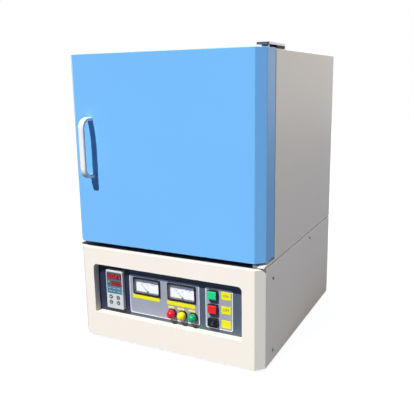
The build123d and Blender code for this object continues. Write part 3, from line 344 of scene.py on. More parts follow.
# Power control. An extruded aluminium heat sink carries the moulded power module. The contactor and the
# terminal strip are moulded in glass-filled plastic.
drawn_aluminium = striped("drawn_aluminium", (0.80, 0.81, 0.83), (0.62, 0.63, 0.65), "X", 0.8, 0.34,
                          metal=1.0, depth=0.02)
dress(drawn_aluminium, "heat_sink", "element_straps")
module_plastic = finish("module_plastic", (0.50, 0.51, 0.52), 0.5, grain=1200, depth=0.03)
dress(module_plastic, "thyristor_module", "terminal_block")
contactor_plastic = finish("contactor_plastic", (0.05, 0.05, 0.055), 0.5, grain=1200, depth=0.03,
                           edge=(0.16, 0.16, 0.16))
dress(contactor_plastic, "contactor")

# Rear panel and mains gland. The panel is painted like the cabinet; the gland is black nylon with a fine
# moulded texture.
cabinet_paint = finish("cabinet_paint", (0.83, 0.77, 0.68), 0.46, grain=750, depth=0.035, patch=5.0,
                       shift=0.02, edge=(0.95, 0.92, 0.86), edge_share=0.5, specular=0.4)
dress(cabinet_paint, "base_rear_panel")
gland_nylon = finish("gland_nylon", (0.018, 0.018, 0.019), 0.48, grain=1500, depth=0.03,
                     edge=(0.10, 0.10, 0.10))
dress(gland_nylon, "cable_gland")

# Control base. One folded and welded sheet with rounded bends, powder-coated cream. The coat has a fine
# orange-peel skin, and its edges are a little lighter, partly where the coat is thin and partly as a painted
# highlight.
base_coat = finish("base_coat", (0.86, 0.80, 0.70), 0.44, grain=750, depth=0.035, patch=5.0, shift=0.02,
                   edge=(0.96, 0.93, 0.87), edge_share=0.5, specular=0.4)
dress(base_coat, "base_shell")


# Case screws. Pan-head screws of dark zinc-plated steel with a cross recess hold the sides of the base. They
# replace the plain heads of the CAD model, and smaller ones in rows hold the two rear panels.
def new_piece(name, mesh, material, body="cabinet", smooth=None):
    """Links a mesh as a piece on a body. Faces that meet below the smooth angle are shaded smooth."""
    piece = bpy.data.objects.new(name, mesh)
    bpy.context.scene.collection.objects.link(piece)
    mesh.materials.clear()
    mesh.materials.append(material)
    if smooth is not None:
        mesh.shade_smooth()
        mesh.set_sharp_from_angle(angle=math.radians(smooth))
    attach(piece, body)
    return piece


def close_mesh(name, bm):
    """Turns a bmesh into a mesh with outward faces."""
    bmesh.ops.recalc_face_normals(bm, faces=bm.faces)
    mesh = bpy.data.meshes.new(name)
    bm.to_mesh(mesh)
    bm.free()
    return mesh


def corners_of(node):
    """A node's lowest and highest corners in millimetres."""
    return [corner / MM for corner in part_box(node)]


def add_turned(bm, profile, place, steps=32, cap=True):
    """Adds a turned form to a bmesh. The profile lists (radius, height) along the Z axis of the place."""
    rings = []
    for radius, height in profile:
        if radius <= 0:
            rings.append([bm.verts.new(place @ Vector((0, 0, height)))])
            continue
        rings.append([bm.verts.new(place @ Vector((radius * math.cos(2 * math.pi * k / steps),
                                                   radius * math.sin(2 * math.pi * k / steps), height)))
                      for k in range(steps)])
    for low, high in zip(rings, rings[1:]):
        for k in range(steps):
            after = (k + 1) % steps
            corners = [low[k % len(low)], low[after % len(low)], high[after % len(high)], high[k % len(high)]]
            bm.faces.new(list(dict.fromkeys(corners)))
    for ring in (rings[0], rings[-1]):
        if cap and len(ring) > 2:
            bm.faces.new(ring)


def axis_place(point, outward):
    """A frame at a point in millimetres, with its Z along an outward direction, scaled to metres."""
    turn = Vector(outward).to_track_quat("Z", "Y").to_matrix().to_4x4()
    return Matrix.Translation(Vector(point) * MM) @ turn @ Matrix.Scale(MM, 4)


def add_cross_screw(bm, point, outward, head_radius=4.2, head_height=2.2, shank=0.0):
    """Adds a domed head with a sunk cross to a bmesh, and its shank if it has one."""
    place = axis_place(point, outward)
    rings, spokes, shank_radius = 7, 32, 2.0
    slot_half, slot_reach, slot_depth = 0.16 * head_radius, 0.56 * head_radius, 0.42 * head_height
    rim_share, roundness = 0.42, 2.4
    grid = []
    for j in range(rings + 1):
        radius = head_radius * j / rings
        ring = []
        for k in range(spokes if j else 1):
            a = 2 * math.pi * k / spokes
            x, y = radius * math.cos(a), radius * math.sin(a)
            dome = math.sqrt(max(1 - (radius / head_radius) ** roundness, 0))
            height = head_height * (rim_share + (1 - rim_share) * dome)
            narrow, wide = sorted((abs(x), abs(y)))
            in_slot = narrow < slot_half and wide < slot_reach
            ring.append(bm.verts.new(place @ Vector((x, y, height - (slot_depth if in_slot else 0)))))
        grid.append(ring)
    rim = [bm.verts.new(place @ Vector((head_radius * math.cos(2 * math.pi * k / spokes),
                                        head_radius * math.sin(2 * math.pi * k / spokes), 0)))
           for k in range(spokes)]
    grid.append(rim)
    for low, high in zip(grid, grid[1:]):
        for k in range(spokes):
            after = (k + 1) % spokes
            corners = [low[k % len(low)], low[after % len(low)], high[after], high[k]]
            bm.faces.new(list(dict.fromkeys(corners)))
    bm.faces.new(rim)
    if shank:
        add_turned(bm, [(shank_radius, 0), (shank_radius, -shank)], place, 20)


screw_zinc = finish("screw_zinc", (0.36, 0.36, 0.38), 0.34, grain=1800, depth=0.01, shift=0.15, metal=0.95,
                    edge=(0.75, 0.75, 0.76), edge_share=0.6)
side_screw_places = ((-192.0, 33.0), (-192.0, 201.0), (81.5, 219.5))
half_width = corners_of("base_shell")[1].x
bm = bmesh.new()
for side in (-1, 1):
    for y, z in side_screw_places:
        add_cross_screw(bm, (side * half_width, y, z), (side, 0, 0), shank=9.0)
side_screw_heads = new_piece("side_screw_heads", close_mesh("side_screw_heads", bm), screw_zinc,
                             smooth=35)
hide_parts("side_screws")
rear_columns = (-228.0, -76.0, 76.0, 228.0)
rear_rows = (20.0, 220.0, 254.0, 668.0)
rear_face = corners_of("rear_cover")[1].y
bm = bmesh.new()
for x in rear_columns:
    for z in rear_rows:
        add_cross_screw(bm, (x, rear_face, z), (0, 1, 0), head_radius=3.6, head_height=2.0)
new_piece("rear_panel_screws", close_mesh("rear_panel_screws", bm), screw_zinc,
          smooth=35)

# Recess plate. A flat steel plate behind the folded rim of the opening in the base, sprayed dark slate blue
# with a satin gloss.
tray_paint = finish("tray_paint", (0.072, 0.100, 0.140), 0.46, grain=900, depth=0.03, patch=14, shift=0.05,
                    edge=(0.25, 0.30, 0.36), edge_share=0.25)
dress(tray_paint, "recess_tray")


# Fascia plates. Light grey screen-printed aluminium with a thin white line round each, and yellow engraved
# labels glued on: two long ones under the meters, three above the lamps and three beside the switches. A thin
# navy sheet on the recess plate round the controller is painted shade, a dark sheet where the plate is in
# shadow.
def rounded_outline(x0, x1, z0, z1, corner):
    """The outline of a rounded rectangle as (x, z) points."""
    steps = 6
    points = []
    for cx, cz, start in ((x1 - corner, z1 - corner, 0), (x0 + corner, z1 - corner, 90),
                          (x0 + corner, z0 + corner, 180), (x1 - corner, z0 + corner, 270)):
        for k in range(steps + 1):
            a = math.radians(start + 90 * k / steps)
            points.append((cx + corner * math.cos(a), cz + corner * math.sin(a)))
    return points


def add_slab(bm, outline, near, far, softened=0.0):
    """Adds a flat block to a bmesh: an outline seen from the front, from one depth back to another."""
    cx = sum(x for x, z in outline) / len(outline)
    cz = sum(z for x, z in outline) / len(outline)
    rows = [(near, softened), (near + softened, 0.0), (far, 0.0)] if softened else [(near, 0.0), (far, 0.0)]
    loops = []
    for y, pull in rows:
        loop = []
        for x, z in outline:
            share = pull / (math.hypot(x - cx, z - cz) or 1.0)
            loop.append(bm.verts.new(Vector((x - share * (x - cx), y, z - share * (z - cz))) * MM))
        loops.append(loop)
    for front_loop, back_loop in zip(loops, loops[1:]):
        for k in range(len(outline)):
            after = (k + 1) % len(outline)
            bm.faces.new([front_loop[k], front_loop[after], back_loop[after], back_loop[k]])
    bm.faces.new(loops[0])
    bm.faces.new(loops[-1])


def add_line_ring(bm, outer, inner, near, far):
    """Adds a closed line between two outlines with as many points each."""
    loops = [[bm.verts.new(Vector((x, y, z)) * MM) for x, z in outline]
             for y, outline in ((near, outer), (near, inner), (far, inner), (far, outer))]
    for first, second in zip(loops, loops[1:] + loops[:1]):
        for k in range(len(outer)):
            after = (k + 1) % len(outer)
            bm.faces.new([first[k], first[after], second[after], second[k]])


fascia_low, fascia_high = corners_of("fascia_panels")
plate_face = fascia_low.y
plate_spans = ((fascia_low.x, 82.7), (97.0, fascia_high.x))
line_gap, line_width, line_height = 0.9, 1.3, 0.12
fascia_grey = finish("fascia_grey", (0.315, 0.335, 0.40), 0.5, grain=1600, depth=0.012, patch=16, shift=0.03,
                     edge=(0.72, 0.74, 0.78), edge_share=0.3)
dress(fascia_grey, "fascia_panels")
print_white = finish("print_white", (0.86, 0.88, 0.90), 0.5, grain=2000, depth=0.01, shift=0.03)
bm = bmesh.new()
for x0, x1 in plate_spans:
    outer, inner = [rounded_outline(x0 + gap, x1 - gap, fascia_low.z + gap, fascia_high.z - gap, corner)
                    for gap, corner in ((line_gap, 4.2), (line_gap + line_width, 3.0))]
    add_line_ring(bm, outer, inner, plate_face - line_height, plate_face)
new_piece("fascia_lines", close_mesh("fascia_lines", bm), print_white)
# The navy sheet is painted shade: a dark sheet laid where the recess plate is only in shadow.
painted_shade_navy = finish("painted_shade_panel", (0.018, 0.026, 0.062), 0.45, grain=900, depth=0.03, patch=14, shift=0.08)
tray_face = corners_of("recess_tray")[0].y
case_low, case_high = corners_of("controller_case")
sheet_gap, sheet_thickness = 0.3, 0.4
sheet_outline = rounded_outline(-195.2, -106.4, 70.3, 192.7, 2.0)
sheet_window = rounded_outline(case_low.x - sheet_gap, case_high.x + sheet_gap, case_low.z - sheet_gap,
                               case_high.z + sheet_gap, 3.0)
bm = bmesh.new()
add_line_ring(bm, sheet_outline, sheet_window, tray_face - sheet_thickness, tray_face)
new_piece("controller_painted_shade", close_mesh("controller_painted_shade", bm), painted_shade_navy)

label_yellow = finish("label_yellow", (0.80, 0.74, 0.012), 0.42, grain=1500, depth=0.012, patch=30,
                      shift=0.05, edge=(0.95, 0.86, 0.25), edge_share=0.4, specular=0.4)
label_pale = finish("label_pale", (0.78, 0.74, 0.18), 0.46, grain=1500, depth=0.012, patch=30, shift=0.05)
label_thickness, label_softness = 0.7, 0.2
label_front = plate_face - label_thickness
label_corner, lamp_label_corner = 1.2, 0.8
long_labels = ((-96.4, -21.8, 116.9, 126.3), (-1.9, 71.5, 116.0, 125.4))
switch_labels = ((136.3, 159.4, 150.1, 168.3), (136.6, 159.5, 117.3, 135.4), (136.9, 159.6, 84.4, 102.5))
lamp_label_spans = ((0.8, 16.9), (25.4, 43.0), (53.8, 70.7))
lamp_label_low, lamp_label_high = 107.3, 112.2
bm = bmesh.new()
for x0, x1, z0, z1 in long_labels + switch_labels:
    add_slab(bm, rounded_outline(x0, x1, z0, z1, label_corner), label_front, plate_face, label_softness)
new_piece("yellow_labels", close_mesh("yellow_labels", bm), label_yellow, smooth=35)
bm = bmesh.new()
for x0, x1 in lamp_label_spans:
    outline = rounded_outline(x0, x1, lamp_label_low, lamp_label_high, lamp_label_corner)
    add_slab(bm, outline, label_front, plate_face, label_softness)
new_piece("lamp_labels", close_mesh("lamp_labels", bm), label_pale, smooth=35)


def add_words(name, words, x, z, y, height, material, depth=0.06):
    """Flat engraved letters or figures of a height, centred on a place and seen from the front."""
    size_per_height = 1.38
    curve = bpy.data.curves.new(name, "FONT")
    curve.body = words
    curve.size = height * MM * size_per_height
    curve.align_x, curve.align_y = "CENTER", "CENTER"
    curve.extrude = depth * MM / 2
    curve.resolution_u = 3
    text = bpy.data.objects.new(name, curve)
    text.matrix_world = Matrix.Translation(Vector((x, y, z)) * MM) @ Matrix.Rotation(math.radians(90), 4, "X")
    bpy.context.scene.collection.objects.link(text)
    bpy.context.view_layer.update()
    mesh = bpy.data.meshes.new_from_object(text.evaluated_get(bpy.context.evaluated_depsgraph_get()))
    mesh.transform(text.matrix_world)
    bpy.data.objects.remove(text)
    mesh.name = name
    new_piece(name, mesh, material)


ink_black = finish("ink_black", (0.03, 0.03, 0.035), 0.55, grain=2000, depth=0.01, shift=0.1)
for name, words, (x0, x1, z0, z1) in zip(("label_on", "label_off"), ("ON", "OFF"), switch_labels):
    add_words(name, words, (x0 + x1) / 2, (z0 + z1) / 2, label_front, 6.0, ink_black)

# Temperature controller. A moulded grey case of the standard panel size, clamped in the recess plate, with a
# smoked window. The window shows two rows of red seven-segment figures and a blue-grey band of legends. Four
# dark round keys with pale signs sit below it.
case_plastic = finish("controller_plastic", (0.60, 0.63, 0.62), 0.48, grain=1300, depth=0.03, shift=0.03,
                      edge=(0.82, 0.84, 0.83), edge_share=0.5)
dress(case_plastic, "controller_case")
smoked = finish("smoked_window", (0.085, 0.115, 0.13), 0.16, grain=300, depth=0.002, shift=0.08, coat=0.6)
dress(smoked, "controller_window")
window_face = corners_of("controller_window")[0].y
screen_front, legend_front = window_face - 0.12, window_face - 0.10
red_screen = finish("red_screen", (0.070, 0.006, 0.010), 0.2, grain=400, depth=0.002, shift=0.06, coat=0.4)
legend_blue = finish("legend_blue", (0.085, 0.20, 0.27), 0.25, grain=400, depth=0.002, shift=0.08, coat=0.4)
screen_spans = ((-163.2, -122.2, 158.8, 171.0), (-150.5, -122.2, 141.6, 151.8))
screen_corner = 0.6
bm = bmesh.new()
for x0, x1, z0, z1 in screen_spans:
    add_slab(bm, rounded_outline(x0, x1, z0, z1, screen_corner), screen_front, window_face)
new_piece("display_screens", close_mesh("display_screens", bm), red_screen)
bm = bmesh.new()
add_slab(bm, rounded_outline(-163.6, -121.6, 121.8, 140.6, screen_corner), legend_front, window_face)
new_piece("display_legend", close_mesh("display_legend", bm), legend_blue)


def glowing(name, colour, strength):
    """A lit figure or lamp core: its own colour, with a soft glow that varies slightly."""
    material = finish(name, colour, 0.35, grain=700, depth=0.004, shift=0.12)
    shader = material.node_tree.nodes["Principled BSDF"]
    shader.inputs["Emission Color"].default_value = list(colour) + [1]
    shader.inputs["Emission Strength"].default_value = strength
    return material


def add_figure(bm, digit, x, z, width, height, y):
    """A seven-segment figure, its lower left corner at a place, leaning slightly."""
    stroke, lean, thickness = width * 0.2, 0.08, 0.08
    middle, gap, cut = height / 2, width * 0.05, stroke * 0.3
    spans = {
        "top": (stroke / 2, height - stroke, width - stroke / 2, height),
        "centre": (stroke / 2, middle - stroke / 2, width - stroke / 2, middle + stroke / 2),
        "bottom": (stroke / 2, 0, width - stroke / 2, stroke),
        "upper_left": (0, middle + gap, stroke, height - stroke / 2),
        "upper_right": (width - stroke, middle + gap, width, height - stroke / 2),
        "lower_left": (0, stroke / 2, stroke, middle - gap),
        "lower_right": (width - stroke, stroke / 2, width, middle - gap),
    }
    lit = {"0": "top bottom upper_left upper_right lower_left lower_right",
           "2": "top centre bottom upper_right lower_left",
           "5": "top centre bottom upper_left lower_right"}[digit]
    for part in lit.split():
        u0, v0, u1, v1 = spans[part]
        shape = [(u0 + cut, v0), (u1 - cut, v0), (u1, v0 + cut), (u1, v1 - cut), (u1 - cut, v1),
                 (u0 + cut, v1), (u0, v1 - cut), (u0, v0 + cut)]
        add_slab(bm, [(x + u + lean * v, z + v) for u, v in shape], y - thickness, y)


red_figures = glowing("red_figures", (0.60, 0.02, 0.03), 0.4)
figure_rows = (("0025", -161.2, 160.4, 9.7, 7.2, 9.0), ("0000", -149.2, 143.2, 6.7, 4.8, 7.0))
bm = bmesh.new()
for digits, x, z, pitch_of_row, width, height in figure_rows:
    for k, digit in enumerate(digits):
        add_figure(bm, digit, x + pitch_of_row * k, z, width, height, screen_front)
new_piece("display_figures", close_mesh("display_figures", bm), red_figures)
pilot_white = glowing("status_light", (0.75, 0.80, 0.55), 0.5)
status_place = axis_place((-158.6, window_face, 150.7), (0, -1, 0))
status_dome = [(1.1, 0), (1.1, 0.35), (0.8, 0.6), (0, 0.7)]
bm = bmesh.new()
add_turned(bm, status_dome, status_place, 16)
new_piece("status_light", close_mesh("status_light", bm), pilot_white, smooth=40)
legend_pale = finish("legend_pale", (0.45, 0.62, 0.66), 0.4, grain=1200, depth=0.01)
legend_x, legend_z = -160.6, 134.8
legend_step, legend_drop, legend_stroke, legend_height = 13.0, 8.0, 1.1, 0.06
bm = bmesh.new()
for row, lengths in enumerate(((7, 9, 8), (10, 6, 9))):
    for column, length in enumerate(lengths):
        x, z = legend_x + legend_step * column, legend_z - legend_drop * row
        line = [(x, z), (x + length, z), (x + length, z + legend_stroke), (x, z + legend_stroke)]
        add_slab(bm, line, legend_front - legend_height, legend_front)
new_piece("legend_lines", close_mesh("legend_lines", bm), legend_pale)

key_skin = finish("key_skin", (0.10, 0.115, 0.105), 0.5, grain=1300, depth=0.03, shift=0.08,
                  edge=(0.30, 0.32, 0.30), edge_share=0.4)
key_names = [f"controller_key_{n}" for n in (1, 2, 3, 4)]
dress(key_skin, *key_names)
key_ring = finish("key_ring", (0.10, 0.11, 0.11), 0.5, grain=1500, depth=0.01)
key_symbols = ([(-1.6, 0.0), (1.2, 1.9), (1.2, -1.9)], [(-1.9, 1.2), (0.0, -1.6), (1.9, 1.2)],
               [(-1.9, -1.2), (1.9, -1.2), (0.0, 1.6)], [(-1.5, -1.5), (1.5, -1.5), (1.5, 1.5), (-1.5, 1.5)])
key_order = (3, 0, 1, 2)
symbol_height, ring_height = 0.05, 0.08
for name, symbol in zip(key_names, key_order):
    low, high = corners_of(name)
    x, z = (low.x + high.x) / 2, (low.z + high.z) / 2
    bm = bmesh.new()
    add_slab(bm, [(x + u, z + v) for u, v in key_symbols[symbol]], low.y - symbol_height, low.y)
    new_piece(name + "_symbol", close_mesh(name + "_symbol", bm), print_white, name)


def circle_outline(x, z, radius):
    """The outline of a circle as (x, z) points."""
    steps = 32
    angles = [2 * math.pi * k / steps for k in range(steps)]
    return [(x + radius * math.cos(a), z + radius * math.sin(a)) for a in angles]


ring_radius, ring_opening = 5.3, 4.4
bm = bmesh.new()
for name in key_names:
    low, high = corners_of(name)
    x, z = (low.x + high.x) / 2, (low.z + high.z) / 2
    add_line_ring(bm, circle_outline(x, z, ring_radius), circle_outline(x, z, ring_opening),
                  case_low.y - ring_height, case_low.y)
new_piece("key_rings", close_mesh("key_rings", bm), key_ring)

# Panel meters. Black moulded cases, clamped in cut-outs, with white printed dials behind clear glasses. Each
# dial has an arc with figures and the letter of its unit, and a moulded lip runs along its lower edge. The
# lip is painted a lighter purple-grey than the case: a painted highlight of its sunlit upward face.
meter_plastic = finish("meter_plastic", (0.010, 0.010, 0.016), 0.30, grain=1400, depth=0.012, shift=0.1,
                       edge=(0.07, 0.07, 0.08), edge_share=0.25, specular=0.3)
dress(meter_plastic, "meter_cases")
dial_card = finish("dial_card", (0.90, 0.92, 0.96), 0.6, grain=2200, depth=0.006, patch=40, shift=0.02)
dress(dial_card, "meter_dials")
needle_lacquer = finish("needle_lacquer", (0.03, 0.03, 0.03), 0.45, grain=1500, depth=0.005)
dress(needle_lacquer, "voltmeter_needle", "ammeter_needle")
meter_glass = finish("meter_glass", (0.92, 0.95, 0.97), 0.04, grain=500, depth=0.002, shift=0.02,
                     rough_shift=0.02)
meter_glass.node_tree.nodes["Principled BSDF"].inputs["Alpha"].default_value = 0.05
dress(meter_glass, "meter_windows")
swing_pivots = [Vector(joint["pos_m"]) / MM for joint in frame["joints"] if "swing" in joint["name"]]
meter_centres = sorted(pivot.x for pivot in swing_pivots)
pivot_z = swing_pivots[0].z
dial_front = corners_of("meter_dials")[0].y
scale_start, scale_sweep, scale_divisions, figure_steps = 135.0, 90.0, 20, 5
tick_end, tick_start, long_tick_start, arc_inner, arc_outer = 26.0, 24.2, 22.8, 22.4, 22.7
figure_radius, unit_rise, scale_height = 28.4, 14.6, 0.03
scale_ink = finish("scale_ink", (0.05, 0.05, 0.06), 0.6, grain=2000, depth=0.004)
bm = bmesh.new()
for x in meter_centres:
    for tick in range(scale_divisions + 1):
        a = math.radians(scale_start - scale_sweep * tick / scale_divisions)
        start, half = (long_tick_start, 0.22) if tick % 4 == 0 else (tick_start, 0.12)
        along, across = Vector((math.cos(a), math.sin(a))), Vector((-math.sin(a), math.cos(a)))
        corners = [along * start + across * half, along * tick_end + across * half,
                   along * tick_end - across * half, along * start - across * half]
        add_slab(bm, [(x + c.x, pivot_z + c.y) for c in corners], dial_front - scale_height, dial_front)
    arc_pieces = 2 * scale_divisions
    arc = [math.radians(scale_start - scale_sweep * k / arc_pieces) for k in range(arc_pieces + 1)]
    for a, b in zip(arc, arc[1:]):
        shape = [(x + r * math.cos(t), pivot_z + r * math.sin(t))
                 for r, t in ((arc_outer, a), (arc_outer, b), (arc_inner, b), (arc_inner, a))]
        add_slab(bm, shape, dial_front - scale_height, dial_front)
new_piece("dial_scales", close_mesh("dial_scales", bm), scale_ink)
figure_front = dial_front - 0.02
for x, (meter, top, unit) in zip(meter_centres, (("voltmeter", 300, "V"), ("ammeter", 50, "A"))):
    for step in range(figure_steps + 1):
        a = math.radians(scale_start - scale_sweep * step / figure_steps)
        add_words(f"{meter}_figure_{step}", str(top * step // figure_steps), x + figure_radius * math.cos(a),
                  pivot_z + figure_radius * math.sin(a), figure_front, 2.2, scale_ink, depth=0.04)
    add_words(f"{meter}_unit", unit, x, pivot_z + unit_rise, figure_front, 4.4, scale_ink, depth=0.04)
# The lip's purple-grey, lighter than the black case, is a painted highlight of its sunlit upward face.
lip_painted_highlight = finish("lip_painted_highlight", (0.07, 0.068, 0.085), 0.3, grain=900, depth=0.01)
lip_half_length, lip_low, lip_near, lip_far = 33.3, 132.45, -238.6, dial_front - 0.1
lip_edge, lip_rise = 0.4, 1.3
bm = bmesh.new()
for x in meter_centres:
    rows = [(lip_near, lip_low), (lip_near, lip_low + lip_edge), (lip_far, lip_low + lip_rise),
            (lip_far, lip_low)]
    ends = [[bm.verts.new(Vector((x + s * lip_half_length, y, z)) * MM) for y, z in rows] for s in (-1, 1)]
    for k in range(len(rows)):
        after = (k + 1) % len(rows)
        bm.faces.new([ends[0][k], ends[0][after], ends[1][after], ends[1][k]])
    bm.faces.new(ends[0])
    bm.faces.new(ends[1])
new_piece("meter_lips", close_mesh("meter_lips", bm), lip_painted_highlight)

# Pilot lamps. Domed lenses of coloured plastic, moulded with small facets inside, sit in black threaded
# rings that clamp the lamps in the fascia.
control_black = finish("control_black", (0.010, 0.011, 0.02), 0.36, grain=1300, depth=0.02, shift=0.1,
                       edge=(0.06, 0.06, 0.075), edge_share=0.3, specular=0.3)
dress(control_black, "lamp_bodies")


def lamp_plastic(name, colour):
    """Coloured lens plastic, whose inner facets show as faint lighter patches."""
    material = finish(name, colour, 0.20, grain=600, depth=0.01, shift=0.10, specular=0.35, coat=0.35)
    tree = material.node_tree
    place = tree.nodes.new("ShaderNodeTexCoord")
    facets = tree.nodes.new("ShaderNodeTexVoronoi")
    facets.inputs["Scale"].default_value = 420.0
    tree.links.new(place.outputs["Object"], facets.inputs["Vector"])
    lighter = [min(1.0, c * 1.25 + 0.06) for c in colour]
    tint_base(material, add_math(tree, "MULTIPLY", facets.outputs["Distance"], 0.16), lighter)
    return material


dress(lamp_plastic("red_lens", (0.66, 0.006, 0.030)), "red_lamp_lens")
dress(lamp_plastic("yellow_lens", (0.86, 0.68, 0.01)), "yellow_lamp_lens")
dress(lamp_plastic("green_lens", (0.004, 0.34, 0.13)), "green_lamp_lens")

# Switches. Square black housings hold a green and a red push button of glossy plastic, and a key switch whose
# black barrel has a small bright rim round the keyway.
dress(control_black, "switch_housings")
# The buttons' lighter edge colours are edge wear and a painted highlight on their rims.
green_button = finish("green_button", (0.010, 0.62, 0.22), 0.3, grain=1100, depth=0.015, shift=0.04,
                      edge=(0.35, 0.9, 0.65), edge_share=0.5, coat=0.3)
dress(green_button, "start_button")
red_button = finish("red_button", (0.78, 0.014, 0.014), 0.3, grain=1100, depth=0.015, shift=0.04,
                    edge=(0.95, 0.5, 0.45), edge_share=0.6, coat=0.3)
dress(red_button, "stop_button")
key_black = finish("key_black", (0.022, 0.022, 0.026), 0.3, grain=1200, depth=0.01, metal=0.4,
                   edge=(0.2, 0.2, 0.2))
dress(key_black, "key_barrel")
bright_metal = finish("bright_metal", (0.78, 0.78, 0.80), 0.2, grain=1500, depth=0.005, metal=1.0)
keyway_half_width, keyway_half_height, keyway_rim_width, keyway_rim_height = 0.7, 2.3, 0.7, 0.3
low, high = corners_of("key_barrel")
key_x, key_z = (low.x + high.x) / 2, (low.z + high.z) / 2
outer, inner = [rounded_outline(key_x - keyway_half_width - rim, key_x + keyway_half_width + rim,
                                key_z - keyway_half_height - rim, key_z + keyway_half_height + rim, corner)
                for rim, corner in ((keyway_rim_width, 0.7), (0.0, 0.3))]
bm = bmesh.new()
add_line_ring(bm, outer, inner, low.y - keyway_rim_height, low.y)
new_piece("keyway_rim", close_mesh("keyway_rim", bm), bright_metal, "key_barrel", smooth=40)

# Seam sheet and cabinet deck. A black rubber sheet lies on the base, and the deck of the cabinet above it is
# painted steel, whose tongue carries the lower door pin.
gasket_rubber = finish("gasket_rubber", (0.012, 0.013, 0.020), 0.7, grain=1100, depth=0.04, shift=0.2)
dress(gasket_rubber, "seam_gasket", "hinge_spacer")
dress(cabinet_paint, "deck_plate")


# Chamber. Vacuum-formed fibre boards with a chalky, slightly fibrous skin in a stainless tub. The boards have
# yellowed round the hot zone. A fired ceramic plate is the floor.
def fibre(name, colour, warm, depth=0.25):
    """Vacuum-formed fibre: chalky, with short raised fibres and a warm tone in patches."""
    material = finish(name, colour, 0.95, grain=420, depth=depth, patch=26, shift=0.05, specular=0.1,
                      rough_shift=0.03)
    tree = material.node_tree
    place = tree.nodes.new("ShaderNodeTexCoord")
    patches = tree.nodes.new("ShaderNodeTexNoise")
    patches.inputs["Scale"].default_value = 13.0
    patches.inputs["Detail"].default_value = 5.0
    tree.links.new(place.outputs["Object"], patches.inputs["Vector"])
    ramp = tree.nodes.new("ShaderNodeMapRange")
    ramp.inputs["From Min"].default_value = 0.46
    ramp.inputs["From Max"].default_value = 0.78
    tree.links.new(patches.outputs["Fac"], ramp.inputs["Value"])
    tint_base(material, ramp.outputs[0], warm)
    return material


board = fibre("fibre_board", (0.70, 0.68, 0.62), (0.66, 0.58, 0.45))
dress(board, "chamber_boards", "door_insulation", "door_plug")
dress(fibre("hearth_ceramic", (0.60, 0.56, 0.49), (0.52, 0.44, 0.35), depth=0.12), "hearth_plate")
brushed_stainless = striped("brushed_stainless", (0.66, 0.66, 0.67), (0.54, 0.54, 0.55), "Z", 0.7, 0.3,
                            metal=1.0, depth=0.01, share=0.6)
dress(brushed_stainless, "inner_shell", "front_frame", "door_inner_plate")

# Heating elements and their links. Dark silicide rods with a glassy skin hang through ceramic plugs. Copper
# bars and aluminium straps carry the current to them, and a ceramic sheath holds the thermocouple.
element_skin = finish("element_skin", (0.10, 0.095, 0.09), 0.4, grain=800, depth=0.06, patch=60, shift=0.3)
dress(element_skin, "heating_elements")
plug_ceramic = finish("plug_ceramic", (0.82, 0.79, 0.72), 0.8, grain=900, depth=0.08, patch=30, shift=0.05)
dress(plug_ceramic, "element_plugs")
bus_copper = finish("bus_copper", (0.72, 0.34, 0.20), 0.32, grain=700, depth=0.02, patch=40, shift=0.14,
                    metal=1.0)
dress(bus_copper, "supply_bars")
dress(finish("sheath_ceramic", (0.76, 0.74, 0.68), 0.5, grain=900, depth=0.03), "thermocouple")

# Cooling fan. A moulded black frame and rotor sit inside the rear cover, behind a finger guard pressed from
# bright steel.
fan_plastic = finish("fan_plastic", (0.02, 0.02, 0.022), 0.4, grain=1200, depth=0.02, shift=0.12,
                     edge=(0.12, 0.12, 0.12))
dress(fan_plastic, "fan_frame", "fan_rotor")
guard_steel = finish("guard_steel", (0.70, 0.71, 0.73), 0.25, grain=1000, depth=0.01, metal=1.0)
dress(guard_steel, "fan_guard")

# Cabinet. Sides and top are folded from one sheet and powder-coated like the base, and the rear plate has the
# same finish.
dress(cabinet_paint, "outer_shell", "rear_cover")

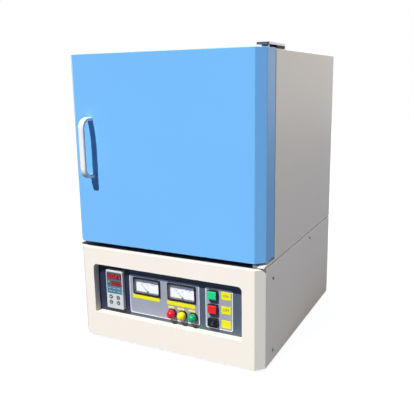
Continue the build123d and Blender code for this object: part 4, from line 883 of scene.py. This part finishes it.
# Door. A chamfered casing folded from one sheet, powder-coated blue. The coat is satin: strong sun lays a
# pale haze over it, and the blue is deeper in shade. Woven fibre rope seals the inside round the plug.
door_paint = finish("door_paint", (0.120, 0.44, 0.85), 0.44, grain=750, depth=0.035, patch=4.0, shift=0.03,
                    edge=(0.45, 0.68, 0.95), edge_share=0.4, specular=0.45, coat=1.0)
satin_coat = door_paint.node_tree.nodes["Principled BSDF"]
satin_coat.inputs["Coat Roughness"].default_value = 1.0
satin_coat.inputs["Coat IOR"].default_value = 2.2
dress(door_paint, "door_shell")
seal_rope = striped("seal_rope", (0.80, 0.78, 0.72), (0.62, 0.59, 0.52), "DIAGONAL", 3.0, 0.9, depth=0.5)
dress(seal_rope, "door_seal")

# Handle. A bow bent from flat bar with rounded edges, sprayed white and screwed to the door from inside. The
# edges are a little paler, partly where hands rub them and partly as a painted highlight.
handle_white = finish("handle_white", (0.84, 0.82, 0.80), 0.34, grain=800, depth=0.02, patch=20, shift=0.03,
                      edge=(0.95, 0.94, 0.93), edge_share=0.4)
dress(handle_white, "handle")

# Door pivots and catch. A zinc-plated top hinge plate lies on a dark packing strip, held by countersunk
# socket screws, and the door turns below on a bright turned pin. A magnet holds it shut.
hinge_zinc = finish("hinge_zinc", (0.33, 0.33, 0.38), 0.36, grain=500, depth=0.02, patch=50, shift=0.14,
                    metal=0.9, edge=(0.72, 0.72, 0.76), edge_share=0.6)
dress(hinge_zinc, "upper_hinge_plate")
dress(bright_metal, "lower_hinge_pin")
dress(finish("magnet_face", (0.20, 0.20, 0.21), 0.4, grain=700, depth=0.03, metal=0.6), "catch_magnet")
low, high = corners_of("hinge_screws")
hinge_screw_rows = (-170.5, -148.5)
head_radius, shank_radius, countersink, screw_length = 5.5, 3.0, 2.6, 18.6
socket = [(0, -1.9), (1.9, -1.6), (1.95, -0.05), (5.3, 0.0)]
outside = [(head_radius, 0.0), (shank_radius, -countersink), (shank_radius, -screw_length),
           (0, -screw_length)]
bm = bmesh.new()
for y in hinge_screw_rows:
    place = axis_place(((low.x + high.x) / 2, y, high.z), (0, 0, 1))
    add_turned(bm, socket + outside, place, 24, cap=False)
hinge_screw_heads = new_piece("hinge_screw_heads", close_mesh("hinge_screw_heads", bm), screw_zinc,
                              smooth=35)
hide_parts("hinge_screws")
